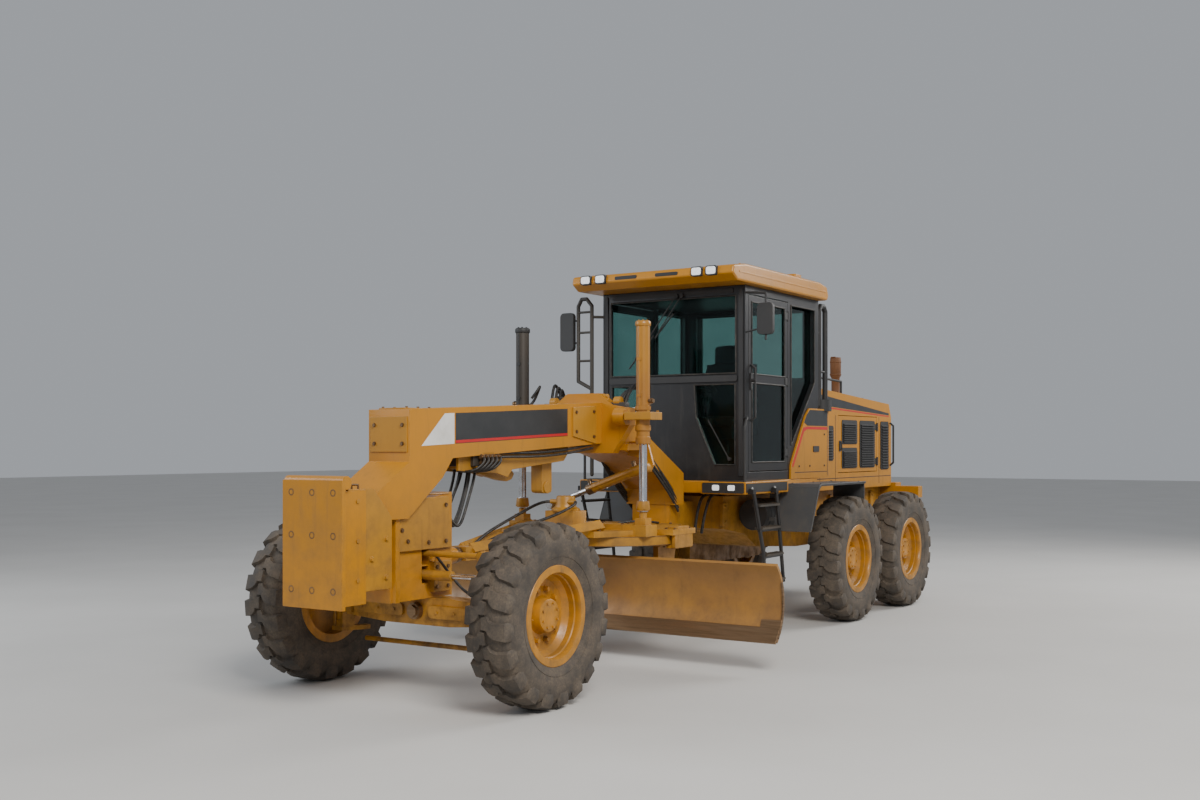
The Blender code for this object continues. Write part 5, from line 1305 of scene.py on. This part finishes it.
def cylinder_details():
    for hand, side in SIDES:
        y = side * 0.62
        # The right lift cylinder's caps are black and the left ones yellow: painted shade on the far cylinder.
        cap_look_shaded_right = "trim" if side < 0 else "cylinder"

        def caps(bm, y=y):
            add_turned(bm, [(0.0, 2.775), (0.062, 2.775), (0.066, 2.782), (0.066, 2.806), (0.058, 2.818), (0.0, 2.818)],
                       "Z", (1.45, y, 0), 36)
            add_turned(bm, [(0.057, 2.075), (0.066, 2.080), (0.066, 2.110), (0.057, 2.115)], "Z", (1.45, y, 0), 36)
            add_rod(bm, (1.505, y, 2.095), (1.505, y, 2.76), 0.010, 12)
            for z in (2.20, 2.50):
                add_box(bm, (1.495, 1.517), (y - 0.018, y + 0.018), (z - 0.012, z + 0.012))
            for index in range(6):
                angle = 2 * math.pi * (index + 0.5) / 6
                add_nut(bm, (1.45 + 0.040 * math.cos(angle), y + 0.040 * math.sin(angle), 2.816), (0, 0, 1), 0.008, 0.010)
        solid(f"lift_{hand}_caps", caps, cap_look_shaded_right, f"lift_barrel_{hand}")

        def sleeve(bm, y=y):
            add_turned(bm, [(0.037, 1.800), (0.060, 1.800), (0.063, 1.806), (0.063, 1.852), (0.055, 1.862), (0.055, 1.900),
                            (0.066, 1.912), (0.066, 1.950), (0.059, 1.958), (0.037, 1.932)], "Z", (1.45, y, 0), 36)
            for index in range(4):
                angle = math.radians(45 + 90 * index)
                add_nut(bm, (1.45 + 0.050 * math.cos(angle), y + 0.050 * math.sin(angle), 1.802), (0, 0, -1), 0.008, 0.010)
        solid(f"lift_{hand}_sleeve", sleeve, "cylinder", f"lift_barrel_{hand}", bevel=0.001)

        def ports(bm, y=y, side=side):
            add_rod(bm, (1.40, y, 2.135), (1.37, y, 2.135), 0.020, 16)
            add_nut(bm, (1.372, y, 2.135), (-1, 0, 0), 0.020, 0.024)
            add_rod(bm, (1.45, y + side * 0.05, 2.155), (1.45, y + side * 0.085, 2.155), 0.018, 16)
            add_nut(bm, (1.45, y + side * 0.080, 2.155), (0, side, 0), 0.019, 0.022)
        solid(f"lift_{hand}_ports", ports, "steel", f"lift_barrel_{hand}")
        hose(f"lift_{hand}_loop", [(1.356, y, 2.135), (1.315, y - side * 0.02, 2.16), (1.29, y - side * 0.05, 2.26),
                                   (1.31, y - side * 0.10, 2.33), (1.35, y - side * 0.10, 2.28), (1.385, y - side * 0.05, 2.20)],
             0.012, f"lift_barrel_{hand}")

        def yoke(bm, side=side, y=y):
            for x in (1.375, 1.525):
                for dy in (-0.095, 0.095):
                    add_nut(bm, (x, y + dy, 2.060), (0, 0, 1), 0.012, 0.016)
            for x in (1.366, 1.534):
                add_rod(bm, (x - 0.012, y, 2.03), (x + 0.012, y, 2.03), 0.030, 20)
        solid(f"lift_yoke_{hand}_fittings", yoke, "yellow_low", f"lift_yoke_{hand}", bevel=0.002)

        def eye(bm, y=y):
            add_turned(bm, [(0.034, 1.325), (0.050, 1.325), (0.054, 1.300), (0.058, 1.262), (0.050, 1.246), (0.034, 1.246)],
                       "Z", (1.45, y, 0), 32)
            for angle in (45, 135, 225, 315):
                a = math.radians(angle)
                add_nut(bm, (1.45 + 0.052 * math.cos(a), y + 0.052 * math.sin(a), 1.262), (0, 0, -1), 0.008, 0.010)
        solid(f"lift_rod_{hand}_eye", eye, "yellow_low", f"lift_rod_{hand}")

        def saddle_fittings(bm, side=side):
            near, far = sorted((side * 0.440, side * 0.466))
            add_pad(bm, (1.345, 1.405), (near, far), (1.975, 2.085), 0.02, "Y")
            add_rod(bm, (1.375, side * 0.30, 2.16), (1.375, side * 0.36, 2.16), 0.040, 24)
            add_rod(bm, (1.36, side * 0.14, 2.205), (1.36, side * 0.22, 2.205), 0.020, 16)
        solid(f"saddle_{hand}_fittings", saddle_fittings, "yellow_low", FRONT, bevel=0.003)

    start, end = Vector((1.12, 0.44, 1.60)), Vector((1.12, -0.55, 1.25))
    along = (end - start).normalized()
    up = Vector((0, -along.z, along.y))
    frame_turn = Matrix.Translation(start) @ along.to_track_quat("Z", "Y").to_matrix().to_4x4()

    def collar(bm, low, high, outer, inner):
        before = set(bm.verts)
        add_turned(bm, [(outer, low), (outer, high), (inner, high), (inner, low)], "Z", (0, 0, 0), 32)
        bmesh.ops.transform(bm, matrix=frame_turn, verts=[v for v in bm.verts if v not in before])

    def shift_ports(bm):
        for distance in (0.10, 0.58):
            point = start + along * distance - up * 0.041
            add_rod(bm, point, point - up * 0.032, 0.018, 16)
            add_nut(bm, point - up * 0.028, -up, 0.019, 0.020)
        collar(bm, 0.56, 0.62, 0.047, 0.041)
    solid("shift_barrel_ports", shift_ports, "steel", "shift_barrel")

    def shift_line(bm):
        for distance in (0.17, 0.47):
            collar(bm, distance - 0.012, distance + 0.012, 0.0460, 0.0405)
        add_rod(bm, start + along * 0.10 + Vector((0.046, 0, 0)), start + along * 0.58 + Vector((0.046, 0, 0)), 0.008, 10)
    solid("shift_barrel_line", shift_line, "yellow_low", "shift_barrel")

    for hand, side in SIDES:
        def king(bm, side=side):
            add_turned(bm, [(0.0, 0.792), (0.050, 0.792), (0.056, 0.798), (0.056, 0.808), (0.046, 0.816), (0.0, 0.816)],
                       "Z", (3.49, side * 0.78, 0), 28)
            for index in range(4):
                angle = math.radians(45 + 90 * index)
                add_nut(bm, (3.49 + 0.036 * math.cos(angle), side * 0.78 + 0.036 * math.sin(angle), 0.814), (0, 0, 1),
                        0.007, 0.008)
        solid(f"king_pin_{hand}", king, "yellow_low", f"steer_{hand}")


# DETAILS

# ---------------------------------------------------------------- the whole picture


camera()
cad_surfaces()
wheels()
cab_glass()
cab_roof_details()
mirrors()
cab_inside()
beam_decals()
front_frame_details()
push_plate_details()
front_lines()
axle_details()
side_cover_decals()
hood_details()
platform_details()
circle_details()
drawbar_details()
blade_details()
cylinder_details()
# CALLS
stage()
